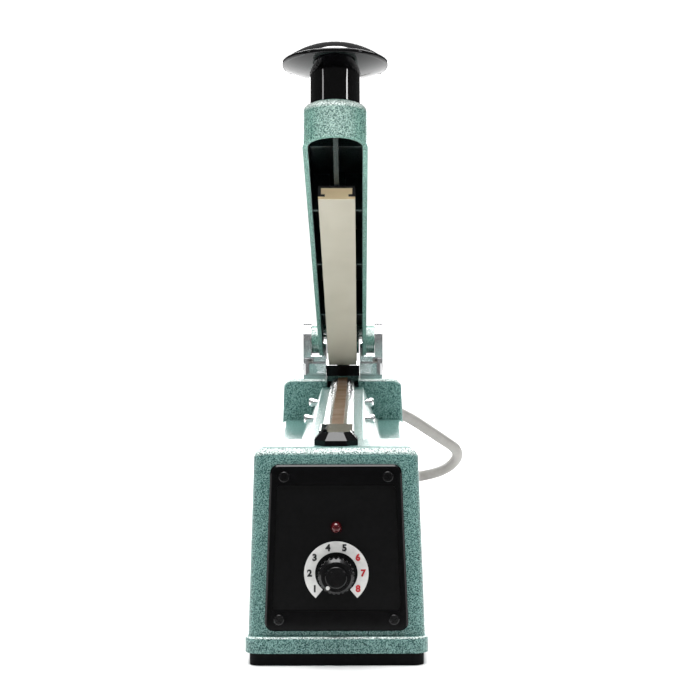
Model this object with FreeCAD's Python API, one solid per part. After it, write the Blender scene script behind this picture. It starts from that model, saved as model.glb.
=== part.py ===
import FreeCAD, Part
import math
import os

from FreeCAD import Vector

# Impulse heat sealer, millimetres. +Z up, front towards -Y, origin under the middle of the rubber base.

# Bed length, which sets the lengths of the base and the arm
RAIL_LENGTH = 326.0
FRONT_MARGIN = 60.5
REAR_MARGIN = 63.5

# Base and body casting
BASE_LENGTH = RAIL_LENGTH + FRONT_MARGIN + REAR_MARGIN
BASE_WIDTH = 84.0
BASE_CORNER = 7.0
PAD_THICK = 5.9
PAD_INSET = 2.0
SKIRT_TOP = 13.6
SKIRT_REACH = 2.5
PLATE_THICK = 1.5
PLATE_RIM = 2.5
BODY_SETBACK = 1.4
BODY_WIDTH = BASE_WIDTH - 2 * BODY_SETBACK
BODY_DRAFT = 0.037
BODY_CORNER = 5.5
BODY_ROUND = 4.5
WALL = 3.5
FRONT_TOP = 100.1
FRONT_DEPTH = 40.0
REAR_TOP = 105.4
REAR_DEPTH = 82.0
DECK_TOP = 79.5
DECK_ROUND = 4.0
SPINE_TOP_WIDTH = 26.0
SPINE_FOOT_WIDTH = 42.0
POST_RADIUS = 4.5
POST_EDGE = 9.0
POST_END = 35.0
POST_X = BASE_WIDTH / 2 - POST_EDGE
POST_Y = BASE_LENGTH / 2 - POST_END
POST_TOP = 34.0
BASE_SCREW_RADIUS = 2.0
BASE_SCREW_HEAD = 3.8
BASE_SCREW_LENGTH = 16.0

# Clearances
FIT = 0.05
GAP = 0.3

# Control panel
PANEL_TOP_WIDTH = 59.5
PANEL_FOOT_WIDTH = 65.8
PANEL_TOP = 92.3
PANEL_FOOT = 16.0
PANEL_CORNER = 4.0
PANEL_THICK = 3.0
PANEL_PROUD = 1.5
LABEL_MARGIN = 3.2
LABEL_TOP = 82.9
LABEL_FOOT = 25.4
LABEL_RECESS = 0.9
LABEL_THICK = 0.4
WINDOW_WIDTH = 46.0
WINDOW_MARGIN = 4.0
PANEL_SCREW_EDGE = 5.4
PANEL_SCREW_RADIUS = 1.5
PANEL_SCREW_HEAD = 2.5
PANEL_SCREW_RISE = 1.2
PANEL_SCREW_LENGTH = 5.0
PANEL_BOSS_RADIUS = 4.0
PANEL_BOSS_DEPTH = 5.0
LED_Z = 63.9
LED_RADIUS = 2.5
LED_RISE = 1.6
DIAL_Z = 42.6
DIAL_OUTER = 14.7
DIAL_INNER = 9.7
DIAL_GAP = 80.0
DIAL_THICK = 0.2
BUSH_RADIUS = 3.5
SHAFT_RADIUS = 2.0
POT_RADIUS = 8.2
POT_DEPTH = 8.0
NUT_RADIUS = 5.5
NUT_THICK = 2.0
KNOB_RADIUS = 8.3
KNOB_CAP_RADIUS = 5.0
KNOB_SKIRT = 10.0
KNOB_CAP = 2.5
KNOB_FLUTES = 24
KNOB_FLUTE_RADIUS = 0.7
POINTER_RADIUS = 0.9
POINTER_ANGLE = 217.0
BOARD_WIDTH = 46.0
BOARD_HEIGHT = 54.0
BOARD_THICK = 1.6
BOARD_BEHIND = 15.0
STANDOFF_RADIUS = 2.5
# Each component as its place in X and above the dial, then its width, height and depth
RELAY = (-18.0, -8.0, 16.0, 20.0, 15.0)
FILM = (2.0, 16.0, 14.0, 10.0, 7.0)
TERMINAL_STRIP = (-16.0, -16.0, 30.0, 7.0, 10.0)
SMOOTHING = (10.0, 4.0, 5.0, 14.0)

# Transformer
CORE_WIDTH = 48.0
CORE_HEIGHT = 40.0
CORE_DEPTH = 24.0
CORE_LIMB = 8.0
CORE_SETBACK = 54.5
COIL_REACH = 10.0
STRAP_THICK = 1.5
STRAP_FOOT = 10.0
STRAP_SCREW_RADIUS = 1.6

# Sealing bed
RAIL_WIDTH = 15.4
RAIL_TOP = 104.4
RAIL_SINK = 4.0
RAIL_FRONT = FRONT_MARGIN - BASE_LENGTH / 2
RAIL_ROUND = 3.8
TAPE_WIDTH = 6.0
TAPE_THICK = 0.3
INSULATION_THICK = 0.1
ELEMENT_WIDTH = 3.0
ELEMENT_THICK = 0.15
RAIL_SCREW_RADIUS = 1.5
RAIL_SCREW_HEAD = 2.6
RAIL_SCREW_RISE = 2.4
RAIL_SCREW_COLLAR = 1.8
RAIL_SCREW_NECK = 2.0
RAIL_SCREW_DROP = 2.2
TERMINAL_LENGTH = 33.0
TERMINAL_WIDTH = 16.4
TERMINAL_TOP = 105.4
TERMINAL_WALL = 1.5
CAP_LENGTH = 20.0
CAP_WIDTH = 20.0
CAP_TOP = 106.2
CAP_CHAMFER = 5.0
CAP_SLOPE = 3.4
ELECTRODE_THICK = 1.2
ELECTRODE_LENGTH = 14.0
ELECTRODE_WIDTH = 6.0
ELECTRODE_SCREW_RADIUS = 1.2

# Hinge
HINGE_SETBACK = 36.0
PIVOT_Y = BASE_LENGTH / 2 - HINGE_SETBACK
PIVOT_Z = 128.0
OPEN_ANGLE = 17.75
BOSS_RADIUS = 9.0
BOSS_REACH = 20.6
PIN_RADIUS = 3.5
BRACKET_INNER = 11.0
INNER_LEG = 2.8
OUTER_LEG = 4.9
LEG_DEPTH = 21.6
LEG_CORNER = 4.0
INNER_LEG_TOP = 126.0
WEB_TOP = 117.7
WEB_THICK = 2.5
FOOT_THICK = 3.0
HINGE_BASE_THICK = 5.0
HINGE_BLOCK_RISE = 7.0
FOOT_CORNER = 4.0
HINGE_BASE_AHEAD = 21.0
HINGE_BASE_BEHIND = 23.0
HINGE_BASE_FRONT = PIVOT_Y - HINGE_BASE_AHEAD
HINGE_BASE_BACK = PIVOT_Y + HINGE_BASE_BEHIND
BRACKET_SCREW_RADIUS = 1.9
BRACKET_SCREW_HEX = 3.5
BRACKET_SCREW_RISE = 2.8
BRACKET_SCREW_INSET = 4.6

# Arm
ARM_WIDTH = 30.0
ARM_WALL = 2.5
ARM_OVERHANG = 71.0
ARM_TIP = PIVOT_Y - RAIL_FRONT + ARM_OVERHANG
ARM_RIM = -17.1
ARM_TOP_REAR = 9.0
ARM_TOP_FRONT = 3.4
ARM_ROUND = 4.5
ARM_ROOF = 3.0
KNOB_LEAN = 6.0
RIB_THICK = 2.2
RIB_SHARES = (0.278, 0.5205, 0.74)
RIB_PLACES = tuple(ARM_TIP * share for share in RIB_SHARES)
NOSE_RIB_BACK = 48.5
NOSE_RIB_PLACE = ARM_TIP - NOSE_RIB_BACK
NOSE_RIB_DEPTH = 7.0
WEB_RIB_THICK = 2.3
STRIP_START = 22.2
STRIP_EXTRA = 5.0
STRIP_LENGTH = RAIL_LENGTH + STRIP_EXTRA
STRIP_WIDTH = 18.0
STRIP_PROUD = 1.3
STRIP_NECK = 11.4
STRIP_FLANGE = 15.2
HOLDER_DEPTH = 5.6
HOLDER_WALL = 1.2
HOLDER_SCREW_RADIUS = 1.3
STEM_RADIUS = 11.8
STEM_HEIGHT = 15.2
PRESS_RADIUS = 23.6
PRESS_RIM = 18.3
PRESS_DOME = 10.5
PRESS_LIP = 2.2
KNOB_SCREW_RADIUS = 2.5
KNOB_SCREW_HEAD = 4.5

# Return springs and switch
TAIL_WIDTH = 8.0
TAIL_THICK = 6.0
TAIL_END = 84.0
SPRING_Z = 88.0
SPRING_X = 9.0
SPRING_RADIUS = 3.4
SPRING_WIRE = 0.6
SPRING_TURNS = 24
SPRING_COIL_LENGTH = 44.0
SPRING_PIN_RADIUS = 2.0
SPRING_SPAN = 71.0
ANCHOR_Y = PIVOT_Y - SPRING_SPAN
SWITCH_LENGTH = 20.0
SWITCH_WIDTH = 6.4
SWITCH_DEPTH = 10.0
PLUNGER_RADIUS = 1.2
PLUNGER_TRAVEL = 1.2
PLUNGER_RISE = 2.4

# Mains lead
CORD_RADIUS = 4.1
CORD_EXIT = Vector(20.0, 0.0, 77.0)
GLAND_LENGTH = 30.0
GLAND_RADIUS = 7.5
GLAND_TIP = 4.9
GLAND_FLANGE = 9.5
TIE_THICK = 0.9
TIE_WIDTH = 12.0
COIL_BEHIND = 141.0
COIL_CENTRE = Vector(-2.0, BASE_LENGTH / 2 + COIL_BEHIND, 0.0)
COIL_MIDDLE = 42.0
COIL_TURNS = 5.18
COIL_START = 135.0
COIL_GAP = 0.7
COIL_LEAD_IN = 34.0
COIL_LEAD_OUT = 42.0
PLUG_LENGTH = 34.0
PLUG_WIDTH = 22.0
PLUG_HEIGHT = 26.0
PLUG_NOSE = 12.0
PLUG_ROUND = 2.0
BLADE_LENGTH = 17.0
BLADE_SPACING = 12.7
BLADE_HEIGHT = 6.3
BLADE_THICK = 1.5
EARTH_PIN_RADIUS = 2.4
ROUTE = (
    Vector(20.0, BASE_LENGTH / 2 + 60.0, 77.0),
    Vector(42.0, BASE_LENGTH / 2 + 93.0, 68.0),
    Vector(68.0, BASE_LENGTH / 2 + 127.0, 48.0),
    Vector(88.5, BASE_LENGTH / 2 + 161.0, 32.0),
    Vector(77.8, BASE_LENGTH / 2 + 194.0, 14.0),
    Vector(51.0, BASE_LENGTH / 2 + 215.0, 5.6),
    Vector(17.0, BASE_LENGTH / 2 + 215.0, 5.0),
)

# Places worked out from the sizes above
FRONT_Y = -BASE_LENGTH / 2 + SKIRT_REACH
FRONT_BACK = FRONT_Y + FRONT_DEPTH
REAR_BACK = BASE_LENGTH / 2 - SKIRT_REACH
REAR_FRONT = REAR_BACK - REAR_DEPTH
PANEL_FRONT = FRONT_Y - PANEL_PROUD
PANEL_BACK = PANEL_FRONT + PANEL_THICK
LABEL_FRONT = PANEL_FRONT + LABEL_RECESS - LABEL_THICK
WINDOW_LOW = LABEL_FOOT + WINDOW_MARGIN
WINDOW_HIGH = LABEL_TOP - WINDOW_MARGIN
SPINE_TOP = FRONT_TOP
RAIL_SEAT = SPINE_TOP - RAIL_SINK
RAIL_REAR = RAIL_FRONT + RAIL_LENGTH
CORE_Y = RAIL_FRONT + CORE_SETBACK
BED_TOP = RAIL_TOP + INSULATION_THICK + TAPE_THICK
TERMINAL_FRONT = RAIL_FRONT - TERMINAL_LENGTH
STRIP_FACE = BED_TOP + GAP - PIVOT_Z
HOLDER_FACE = STRIP_FACE + STRIP_PROUD
HOLDER_BACK = HOLDER_FACE + HOLDER_DEPTH
STRIP_END = STRIP_START + STRIP_LENGTH
STEM_PLACE = ARM_TIP - ARM_WIDTH / 2
BRACKET_FLOOR = REAR_TOP + HINGE_BASE_THICK
BOSS_INNER = BRACKET_INNER + INNER_LEG + GAP
OUTER_LEG_START = BOSS_REACH + GAP
BRACKET_OUTER = OUTER_LEG_START + OUTER_LEG
BOARD_FRONT = PANEL_BACK + BOARD_BEHIND
PLATE_TOP = PAD_THICK + PLATE_THICK
PIVOT = Vector(0, PIVOT_Y, PIVOT_Z)
X_AXIS = Vector(1, 0, 0)
Y_AXIS = Vector(0, 1, 0)
Z_AXIS = Vector(0, 0, 1)


def xy(level):
    return lambda u, v: Vector(u, v, level)


def xz(level):
    return lambda u, v: Vector(u, level, v)


def yz(level):
    return lambda u, v: Vector(level, u, v)


def outline(corners, place):
    """Closed wire through (u, v, radius) corners, each radius a tangent arc."""
    starts = []
    middles = []
    ends = []
    for index, (u, v, radius) in enumerate(corners):
        last = corners[index - 1]
        following = corners[(index + 1) % len(corners)]
        point = Vector(u, v, 0)
        to_last = (Vector(last[0], last[1], 0) - point).normalize()
        to_next = (Vector(following[0], following[1], 0) - point).normalize()
        half = to_last.getAngle(to_next) / 2
        cut = radius / math.tan(half)
        inward = (to_last + to_next).normalize()
        starts.append(point + to_last * cut)
        ends.append(point + to_next * cut)
        middles.append(point + inward * (radius / math.sin(half) - radius))
    edges = []
    for index, corner in enumerate(corners):
        if corner[2] > 0:
            points = [place(p.x, p.y) for p in (starts[index], middles[index], ends[index])]
            edges.append(Part.Arc(*points).toShape())
        ahead = starts[(index + 1) % len(corners)]
        if (ahead - ends[index]).Length > 1e-6:
            line = Part.LineSegment(place(ends[index].x, ends[index].y), place(ahead.x, ahead.y))
            edges.append(line.toShape())
    return Part.Wire(edges)


def prism(corners, plane, low, high):
    """Solid of an outline in a plane, from low to high along the plane's normal."""
    axis = {xy: Z_AXIS, xz: Y_AXIS, yz: X_AXIS}[plane]
    return Part.Face(outline(corners, plane(low))).extrude(axis * (high - low))


def box(x, y, z):
    """Box from (low, high) pairs."""
    return Part.makeBox(x[1] - x[0], y[1] - y[0], z[1] - z[0], Vector(x[0], y[0], z[0]))


def rod(base, axis, radius, length):
    return Part.makeCylinder(radius, length, base, axis)


def rounded_rectangle(width, length, radius):
    x = width / 2
    y = length / 2
    return [(-x, -y, radius), (x, -y, radius), (x, y, radius), (-x, y, radius)]


def fuse(first, *others):
    return first.multiFuse(list(others)).removeSplitter()


def cut(shape, *tools):
    return shape.cut(Part.Compound(list(tools))) if len(tools) == 1 else shape.cut(list(tools))


def mirrored(shape):
    return shape.mirror(Vector(0, 0, 0), X_AXIS)


def hexagon(base, axis, across, height):
    """Hexagonal prism with the given corner radius."""
    side = axis.cross(Z_AXIS if abs(axis.z) < 0.9 else X_AXIS).normalize()
    other = axis.cross(side)
    points = []
    for step in range(7):
        angle = math.radians(60 * step)
        points.append(base + side * (across * math.cos(angle)) + other * (across * math.sin(angle)))
    return Part.Face(Part.makePolygon(points)).extrude(axis * height)


def cross_head(base, axis, radius, rise):
    """Raised screw head with a cross recess, seated at base and facing along axis."""
    head = rod(base, axis, radius, rise)
    top = [edge for edge in head.Edges if (edge.CenterOfMass - base).dot(axis) > rise * 0.9]
    head = head.makeFillet(rise * 0.6, top)
    side = axis.cross(Z_AXIS if abs(axis.z) < 0.9 else X_AXIS).normalize()
    slot = Part.makeBox(radius * 1.2, radius * 0.26, rise, Vector(-radius * 0.6, -radius * 0.13, 0))
    turn = FreeCAD.Rotation(side, axis.cross(side), axis, "ZXY")
    for quarter in (45, 135):
        arm = slot.copy()
        arm.rotate(Vector(0, 0, 0), Z_AXIS, quarter)
        arm.Placement = FreeCAD.Placement(base + axis * (rise * 0.5), turn).multiply(arm.Placement)
        head = head.cut(arm)
    return head


def body_half(z):
    """Half the body's width at a height, drawn in by the casting's draft."""
    return BODY_WIDTH / 2 - (z - SKIRT_TOP) * BODY_DRAFT


def housing_section(top, inset, floor):
    """Tapered section of a housing, drawn in by a wall."""
    foot = body_half(floor) - inset
    head = body_half(top) - inset
    corner = max(BODY_CORNER - inset, 1.0)
    return [(-foot, floor, 0), (foot, floor, 0), (head, top, corner), (-head, top, corner)]


def spine_half(z):
    """Half the spine's width at a height."""
    slope = (SPINE_FOOT_WIDTH - SPINE_TOP_WIDTH) / 2 / (SPINE_TOP - DECK_TOP)
    return SPINE_TOP_WIDTH / 2 + (SPINE_TOP - z) * slope


def deck_section(inset, floor):
    """Section of the low middle with its raised spine, drawn in by a wall."""
    deck = DECK_TOP - inset
    top = (RAIL_SEAT if inset else SPINE_TOP) - inset
    foot = body_half(floor) - inset
    side = body_half(deck) - inset
    spine_foot = spine_half(deck) - inset
    spine_head = spine_half(top) - inset
    corner = 1.0 if inset else DECK_ROUND
    right = [(foot, floor, 0), (side, deck, corner), (spine_foot, deck, corner), (spine_head, top, 1.0)]
    left = [(-u, v, r) for u, v, r in reversed(right)]
    return right + left


def rounded_end(block, plane_y, radius):
    """Rounds the sides and top of a housing where they meet an end face."""
    edges = []
    for edge in block.Edges:
        flat = all(abs(vertex.Y - plane_y) < 1e-4 for vertex in edge.Vertexes)
        low = all(vertex.Z < SKIRT_TOP for vertex in edge.Vertexes)
        if flat and not low:
            edges.append(edge)
    return block.makeFillet(radius, edges)


def panel_corners(inset, foot, top, corner):
    """Trapezoid of the panel or its label."""
    slope = (PANEL_FOOT_WIDTH - PANEL_TOP_WIDTH) / 2 / (PANEL_TOP - PANEL_FOOT)
    low = PANEL_FOOT_WIDTH / 2 - (foot - PANEL_FOOT) * slope - inset
    high = PANEL_FOOT_WIDTH / 2 - (top - PANEL_FOOT) * slope - inset
    return [(-low, foot, corner), (low, foot, corner), (high, top, corner), (-high, top, corner)]


def panel_screw_places():
    """Centres of the panel's four screws in X and Z."""
    places = []
    for z in (PANEL_FOOT + PANEL_SCREW_EDGE, PANEL_TOP - PANEL_SCREW_EDGE):
        slope = (PANEL_FOOT_WIDTH - PANEL_TOP_WIDTH) / 2 / (PANEL_TOP - PANEL_FOOT)
        half = PANEL_FOOT_WIDTH / 2 - (z - PANEL_FOOT) * slope - PANEL_SCREW_EDGE - 1.0
        places += [(-half, z), (half, z)]
    return places


def base_screw_places():
    return [(side * POST_X, y) for side in (-1, 1) for y in (-POST_Y, 0.0, POST_Y)]


def rail_screw_places():
    """Centres of the four side screws along Y, at the thirds of the rail."""
    return [RAIL_FRONT + RAIL_LENGTH * share / 3 for share in (1, 2)]


def body_casting():
    skirt = prism(rounded_rectangle(BASE_WIDTH, BASE_LENGTH, BASE_CORNER), xy, PAD_THICK, SKIRT_TOP)
    rim = [edge for edge in skirt.Edges if all(abs(v.Z - SKIRT_TOP) < 1e-4 for v in edge.Vertexes)]
    skirt = skirt.makeFillet(SKIRT_REACH * 0.6, rim)
    floor = PAD_THICK + PLATE_THICK
    front = prism(housing_section(FRONT_TOP, 0, floor), xz, FRONT_Y, FRONT_BACK)
    front = rounded_end(rounded_end(front, FRONT_Y, BODY_ROUND), FRONT_BACK, BODY_ROUND / 2)
    rear = prism(housing_section(REAR_TOP, 0, floor), xz, REAR_FRONT, REAR_BACK)
    rear = rounded_end(rounded_end(rear, REAR_BACK, BODY_ROUND), REAR_FRONT, BODY_ROUND / 2)
    middle = prism(deck_section(0, floor), xz, FRONT_BACK - FRONT_DEPTH / 2, REAR_FRONT + REAR_DEPTH / 2)
    shell = fuse(skirt, front, rear, middle)
    low = PAD_THICK - 1
    hollows = [
        prism(housing_section(FRONT_TOP - WALL, WALL, low), xz, FRONT_Y + WALL, FRONT_BACK - WALL),
        prism(housing_section(REAR_TOP - WALL, WALL, low), xz, REAR_FRONT + WALL, REAR_BACK - WALL),
        prism(deck_section(WALL, low), xz, FRONT_BACK - 2 * WALL, REAR_FRONT + 2 * WALL),
    ]
    hollow = fuse(*hollows)
    plate_width = BASE_WIDTH - 2 * PLATE_RIM
    plate_length = BASE_LENGTH - 2 * PLATE_RIM
    plate_bed = prism(rounded_rectangle(plate_width, plate_length, BASE_CORNER - PLATE_RIM), xy, low, floor)
    shell = cut(shell, hollow, plate_bed)
    additions = []
    for x, y in base_screw_places():
        additions.append(rod(Vector(x, y, floor), Z_AXIS, POST_RADIUS, POST_TOP - floor))
    for x, z in panel_screw_places():
        additions.append(rod(Vector(x, PANEL_BACK, z), Y_AXIS, PANEL_BOSS_RADIUS, WALL + PANEL_BOSS_DEPTH))
    shell = fuse(shell, *additions)
    return cut(shell, *body_cuts(floor))


def body_cuts(floor):
    """Seats, windows, slots and screw holes of the casting."""
    slide = FIT * 2
    seat = panel_corners(-slide, PANEL_FOOT - slide, PANEL_TOP + slide, PANEL_CORNER)
    half_window = WINDOW_WIDTH / 2
    half_rail = RAIL_WIDTH / 2 + FIT
    half_notch = STRIP_WIDTH / 2 + 1.0
    half_slot = TAIL_WIDTH / 2 + 2.0
    notch_deep = (REAR_FRONT - 1, HINGE_BASE_FRONT - GAP)
    slot_deep = (PIVOT_Y - 12, HINGE_BASE_BACK - 3)
    cuts = [
        prism(seat, xz, FRONT_Y - WALL, PANEL_BACK),
        box((-half_window, half_window), (FRONT_Y - WALL, FRONT_Y + 2 * WALL), (WINDOW_LOW, WINDOW_HIGH)),
        box((-half_rail, half_rail), (RAIL_FRONT, RAIL_REAR + FIT), (RAIL_SEAT, REAR_TOP + WALL)),
        box((-half_notch, half_notch), notch_deep, (SPINE_TOP, REAR_TOP + WALL)),
        box((-half_slot, half_slot), slot_deep, (REAR_TOP - 3 * WALL, REAR_TOP + WALL)),
        rod(Vector(CORD_EXIT.x, REAR_BACK - 2 * WALL, CORD_EXIT.z), Y_AXIS, GLAND_RADIUS + FIT, 3 * WALL),
        spring_anchor(),
    ]
    for x, y in base_screw_places():
        cuts.append(rod(Vector(x, y, floor - 1), Z_AXIS, BASE_SCREW_RADIUS + FIT, BASE_SCREW_LENGTH))
    for x, z in panel_screw_places():
        depth = PANEL_SCREW_LENGTH + 1
        cuts.append(rod(Vector(x, PANEL_BACK - 1, z), Y_AXIS, PANEL_SCREW_RADIUS + FIT, depth))
    for y in rail_screw_places():
        place = Vector(-SPINE_FOOT_WIDTH, y, SPINE_TOP - RAIL_SCREW_DROP)
        cuts.append(rod(place, X_AXIS, RAIL_SCREW_RADIUS + FIT, 2 * SPINE_FOOT_WIDTH))
    for x, y in bracket_screw_places():
        place = Vector(x, y, REAR_TOP - 2 * WALL)
        cuts.append(rod(place, Z_AXIS, BRACKET_SCREW_RADIUS + FIT, 3 * WALL))
    return cuts


def bottom_plate():
    width = BASE_WIDTH - 2 * PLATE_RIM - 4 * FIT
    length = BASE_LENGTH - 2 * PLATE_RIM - 4 * FIT
    plate = prism(rounded_rectangle(width, length, BASE_CORNER - PLATE_RIM), xy, PAD_THICK, PLATE_TOP)
    holes = []
    for x, y in base_screw_places():
        holes.append(rod(Vector(x, y, 0), Z_AXIS, BASE_SCREW_RADIUS + 4 * FIT, PLATE_TOP + 1))
    holes += transformer_holes()
    return cut(plate, *holes)


def rubber_base():
    width = BASE_WIDTH - 2 * PAD_INSET
    length = BASE_LENGTH - 2 * PAD_INSET
    pad = prism(rounded_rectangle(width, length, BASE_CORNER - PAD_INSET), xy, 0, PAD_THICK)
    holes = []
    for x, y in base_screw_places():
        holes.append(rod(Vector(x, y, -1), Z_AXIS, BASE_SCREW_HEAD + 1, PAD_THICK + 2))
    return cut(pad, *holes)


def bottom_screws():
    screws = []
    for x, y in base_screw_places():
        top = Vector(x, y, PAD_THICK)
        shank = rod(top, Z_AXIS, BASE_SCREW_RADIUS, BASE_SCREW_LENGTH - PLATE_THICK - 1)
        screws.append(fuse(shank, cross_head(top, -Z_AXIS, BASE_SCREW_HEAD, BASE_SCREW_RADIUS)))
    return Part.Compound(screws)


def control_panel():
    panel = prism(panel_corners(0, PANEL_FOOT, PANEL_TOP, PANEL_CORNER), xz, PANEL_FRONT, PANEL_BACK)
    face = [e for e in panel.Edges if all(abs(v.Y - PANEL_FRONT) < 1e-4 for v in e.Vertexes)]
    panel = panel.makeChamfer(PANEL_PROUD * 0.5, face)
    recess = prism(label_corners(0), xz, PANEL_FRONT - 1, PANEL_FRONT + LABEL_RECESS)
    holes = [recess]
    holes.append(rod(Vector(0, PANEL_FRONT - 1, LED_Z), Y_AXIS, LED_RADIUS + FIT, PANEL_THICK + 2))
    holes.append(rod(Vector(0, PANEL_FRONT - 1, DIAL_Z), Y_AXIS, BUSH_RADIUS + FIT, PANEL_THICK + 2))
    for x, z in panel_screw_places():
        holes.append(rod(Vector(x, PANEL_FRONT - 1, z), Y_AXIS, PANEL_SCREW_RADIUS + FIT, PANEL_THICK + 2))
    return cut(panel, *holes)


def label_corners(shrink):
    return panel_corners(LABEL_MARGIN + shrink, LABEL_FOOT + shrink, LABEL_TOP - shrink, PANEL_CORNER / 2)


def panel_label():
    label = prism(label_corners(FIT), xz, LABEL_FRONT, LABEL_FRONT + LABEL_THICK)
    led = rod(Vector(0, LABEL_FRONT - 1, LED_Z), Y_AXIS, LED_RADIUS + FIT, LABEL_THICK + 2)
    bush = rod(Vector(0, LABEL_FRONT - 1, DIAL_Z), Y_AXIS, BUSH_RADIUS + FIT, LABEL_THICK + 2)
    return cut(label, led, bush)


def dial_scale():
    """Open ring round the timer knob, on the label."""
    centre = Vector(0, LABEL_FRONT - DIAL_THICK, DIAL_Z)
    disc = rod(centre, Y_AXIS, DIAL_OUTER, DIAL_THICK)
    ring = disc.cut(rod(centre, Y_AXIS, DIAL_INNER, DIAL_THICK))
    reach = DIAL_OUTER * 2
    half = math.radians(DIAL_GAP / 2)
    spread = reach * math.tan(half)
    wedge = [(0, DIAL_Z, 0), (-spread, DIAL_Z - reach, 0), (spread, DIAL_Z - reach, 0)]
    return ring.cut(prism(wedge, xz, centre.y - 1, centre.y + 1))


def panel_screws():
    screws = []
    for x, z in panel_screw_places():
        seat = Vector(x, PANEL_FRONT, z)
        shank = rod(seat, Y_AXIS, PANEL_SCREW_RADIUS, PANEL_THICK + PANEL_SCREW_LENGTH - 1)
        screws.append(fuse(shank, cross_head(seat, -Y_AXIS, PANEL_SCREW_HEAD, PANEL_SCREW_RISE)))
    return Part.Compound(screws)


def indicator_led():
    """Domed lamp in the panel, with two legs into the timer board."""
    start = Vector(0, LABEL_FRONT - LED_RISE, LED_Z)
    barrel = rod(start, Y_AXIS, LED_RADIUS, PANEL_BACK - start.y + LED_RADIUS)
    dome = Part.makeSphere(LED_RADIUS, start)
    flange = rod(Vector(0, PANEL_BACK, LED_Z), Y_AXIS, LED_RADIUS * 1.16, LED_RADIUS)
    legs = []
    for side in (-1, 1):
        leg = Vector(side * LED_RADIUS / 2, PANEL_BACK + LED_RADIUS, LED_Z)
        legs.append(rod(leg, Y_AXIS, LED_RADIUS / 10, BOARD_FRONT - leg.y))
    return fuse(barrel, dome, flange, *legs)


def timer_potentiometer():
    """Body behind the panel and threaded bush through it."""
    body = rod(Vector(0, PANEL_BACK, DIAL_Z), Y_AXIS, POT_RADIUS, POT_DEPTH)
    length = PANEL_BACK - LABEL_FRONT + NUT_THICK
    bush = rod(Vector(0, LABEL_FRONT - NUT_THICK, DIAL_Z), Y_AXIS, BUSH_RADIUS, length)
    pins = box((-POT_RADIUS / 2, POT_RADIUS / 2), (PANEL_BACK + POT_DEPTH, BOARD_FRONT), (DIAL_Z, DIAL_Z + 1))
    mouth = Vector(0, LABEL_FRONT - NUT_THICK - 1, DIAL_Z)
    bore = rod(mouth, Y_AXIS, SHAFT_RADIUS + FIT, length + POT_DEPTH / 2)
    return cut(fuse(body, bush, pins), bore)


def potentiometer_nut():
    nut = hexagon(Vector(0, LABEL_FRONT, DIAL_Z), -Y_AXIS, NUT_RADIUS, NUT_THICK)
    return nut.cut(rod(Vector(0, LABEL_FRONT + 1, DIAL_Z), -Y_AXIS, BUSH_RADIUS + FIT, NUT_THICK + 2))


def knob_front():
    return LABEL_FRONT - GAP - KNOB_SKIRT - KNOB_CAP


def timer_shaft():
    start = Vector(0, knob_front() + KNOB_CAP, DIAL_Z)
    end = PANEL_BACK + POT_DEPTH / 2 - NUT_THICK
    return rod(start, Y_AXIS, SHAFT_RADIUS, end - start.y)


def timer_knob():
    """Fluted skirt with a raised cap and a hollow for the nut."""
    back = LABEL_FRONT - GAP
    skirt = rod(Vector(0, back, DIAL_Z), -Y_AXIS, KNOB_RADIUS, KNOB_SKIRT)
    brim = [e for e in skirt.Edges if all(abs(v.Y - back + KNOB_SKIRT) < 1e-4 for v in e.Vertexes)]
    skirt = skirt.makeChamfer(KNOB_CAP * 0.6, brim)
    cap = rod(Vector(0, back - KNOB_SKIRT, DIAL_Z), -Y_AXIS, KNOB_CAP_RADIUS, KNOB_CAP)
    crown = [e for e in cap.Edges if all(abs(v.Y - knob_front()) < 1e-4 for v in e.Vertexes)]
    cap = cap.makeFillet(KNOB_CAP * 0.3, crown)
    tools = [
        rod(Vector(0, back + 1, DIAL_Z), -Y_AXIS, NUT_RADIUS + GAP, NUT_THICK + GAP + 1),
        rod(Vector(0, back + 1, DIAL_Z), -Y_AXIS, SHAFT_RADIUS + FIT, KNOB_SKIRT + 1),
        pointer_solid(),
    ]
    for flute in range(KNOB_FLUTES):
        angle = math.radians(360 * flute / KNOB_FLUTES)
        reach = KNOB_RADIUS + KNOB_FLUTE_RADIUS * 0.3
        place = Vector(reach * math.cos(angle), back + 1, DIAL_Z + reach * math.sin(angle))
        tools.append(rod(place, -Y_AXIS, KNOB_FLUTE_RADIUS, KNOB_SKIRT + 2))
    return cut(fuse(skirt, cap), *tools)


def pointer_solid():
    """White inlay near the edge of the knob's face, below the figure 1."""
    angle = math.radians(POINTER_ANGLE)
    reach = (KNOB_RADIUS + KNOB_CAP_RADIUS) / 2 - POINTER_RADIUS * 0.4
    face = LABEL_FRONT - GAP - KNOB_SKIRT
    place = Vector(reach * math.sin(angle), face + 1, DIAL_Z + reach * math.cos(angle))
    return rod(place, -Y_AXIS, POINTER_RADIUS, 1.0)


def timer_board():
    deep = (BOARD_FRONT, BOARD_FRONT + BOARD_THICK)
    plate = box((-BOARD_WIDTH / 2, BOARD_WIDTH / 2), deep, (WINDOW_LOW, WINDOW_LOW + BOARD_HEIGHT))
    holes = []
    for x, z in standoff_places():
        holes.append(rod(Vector(x, BOARD_FRONT - 1, z), Y_AXIS, STANDOFF_RADIUS / 2 + FIT, BOARD_THICK + 2))
    return cut(plate, *holes)


def standoff_places():
    edge = STANDOFF_RADIUS + 1
    heights = (WINDOW_LOW + edge, WINDOW_HIGH - edge)
    return [(side * (WINDOW_WIDTH / 2 - edge), z) for side in (-1, 1) for z in heights]


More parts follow.
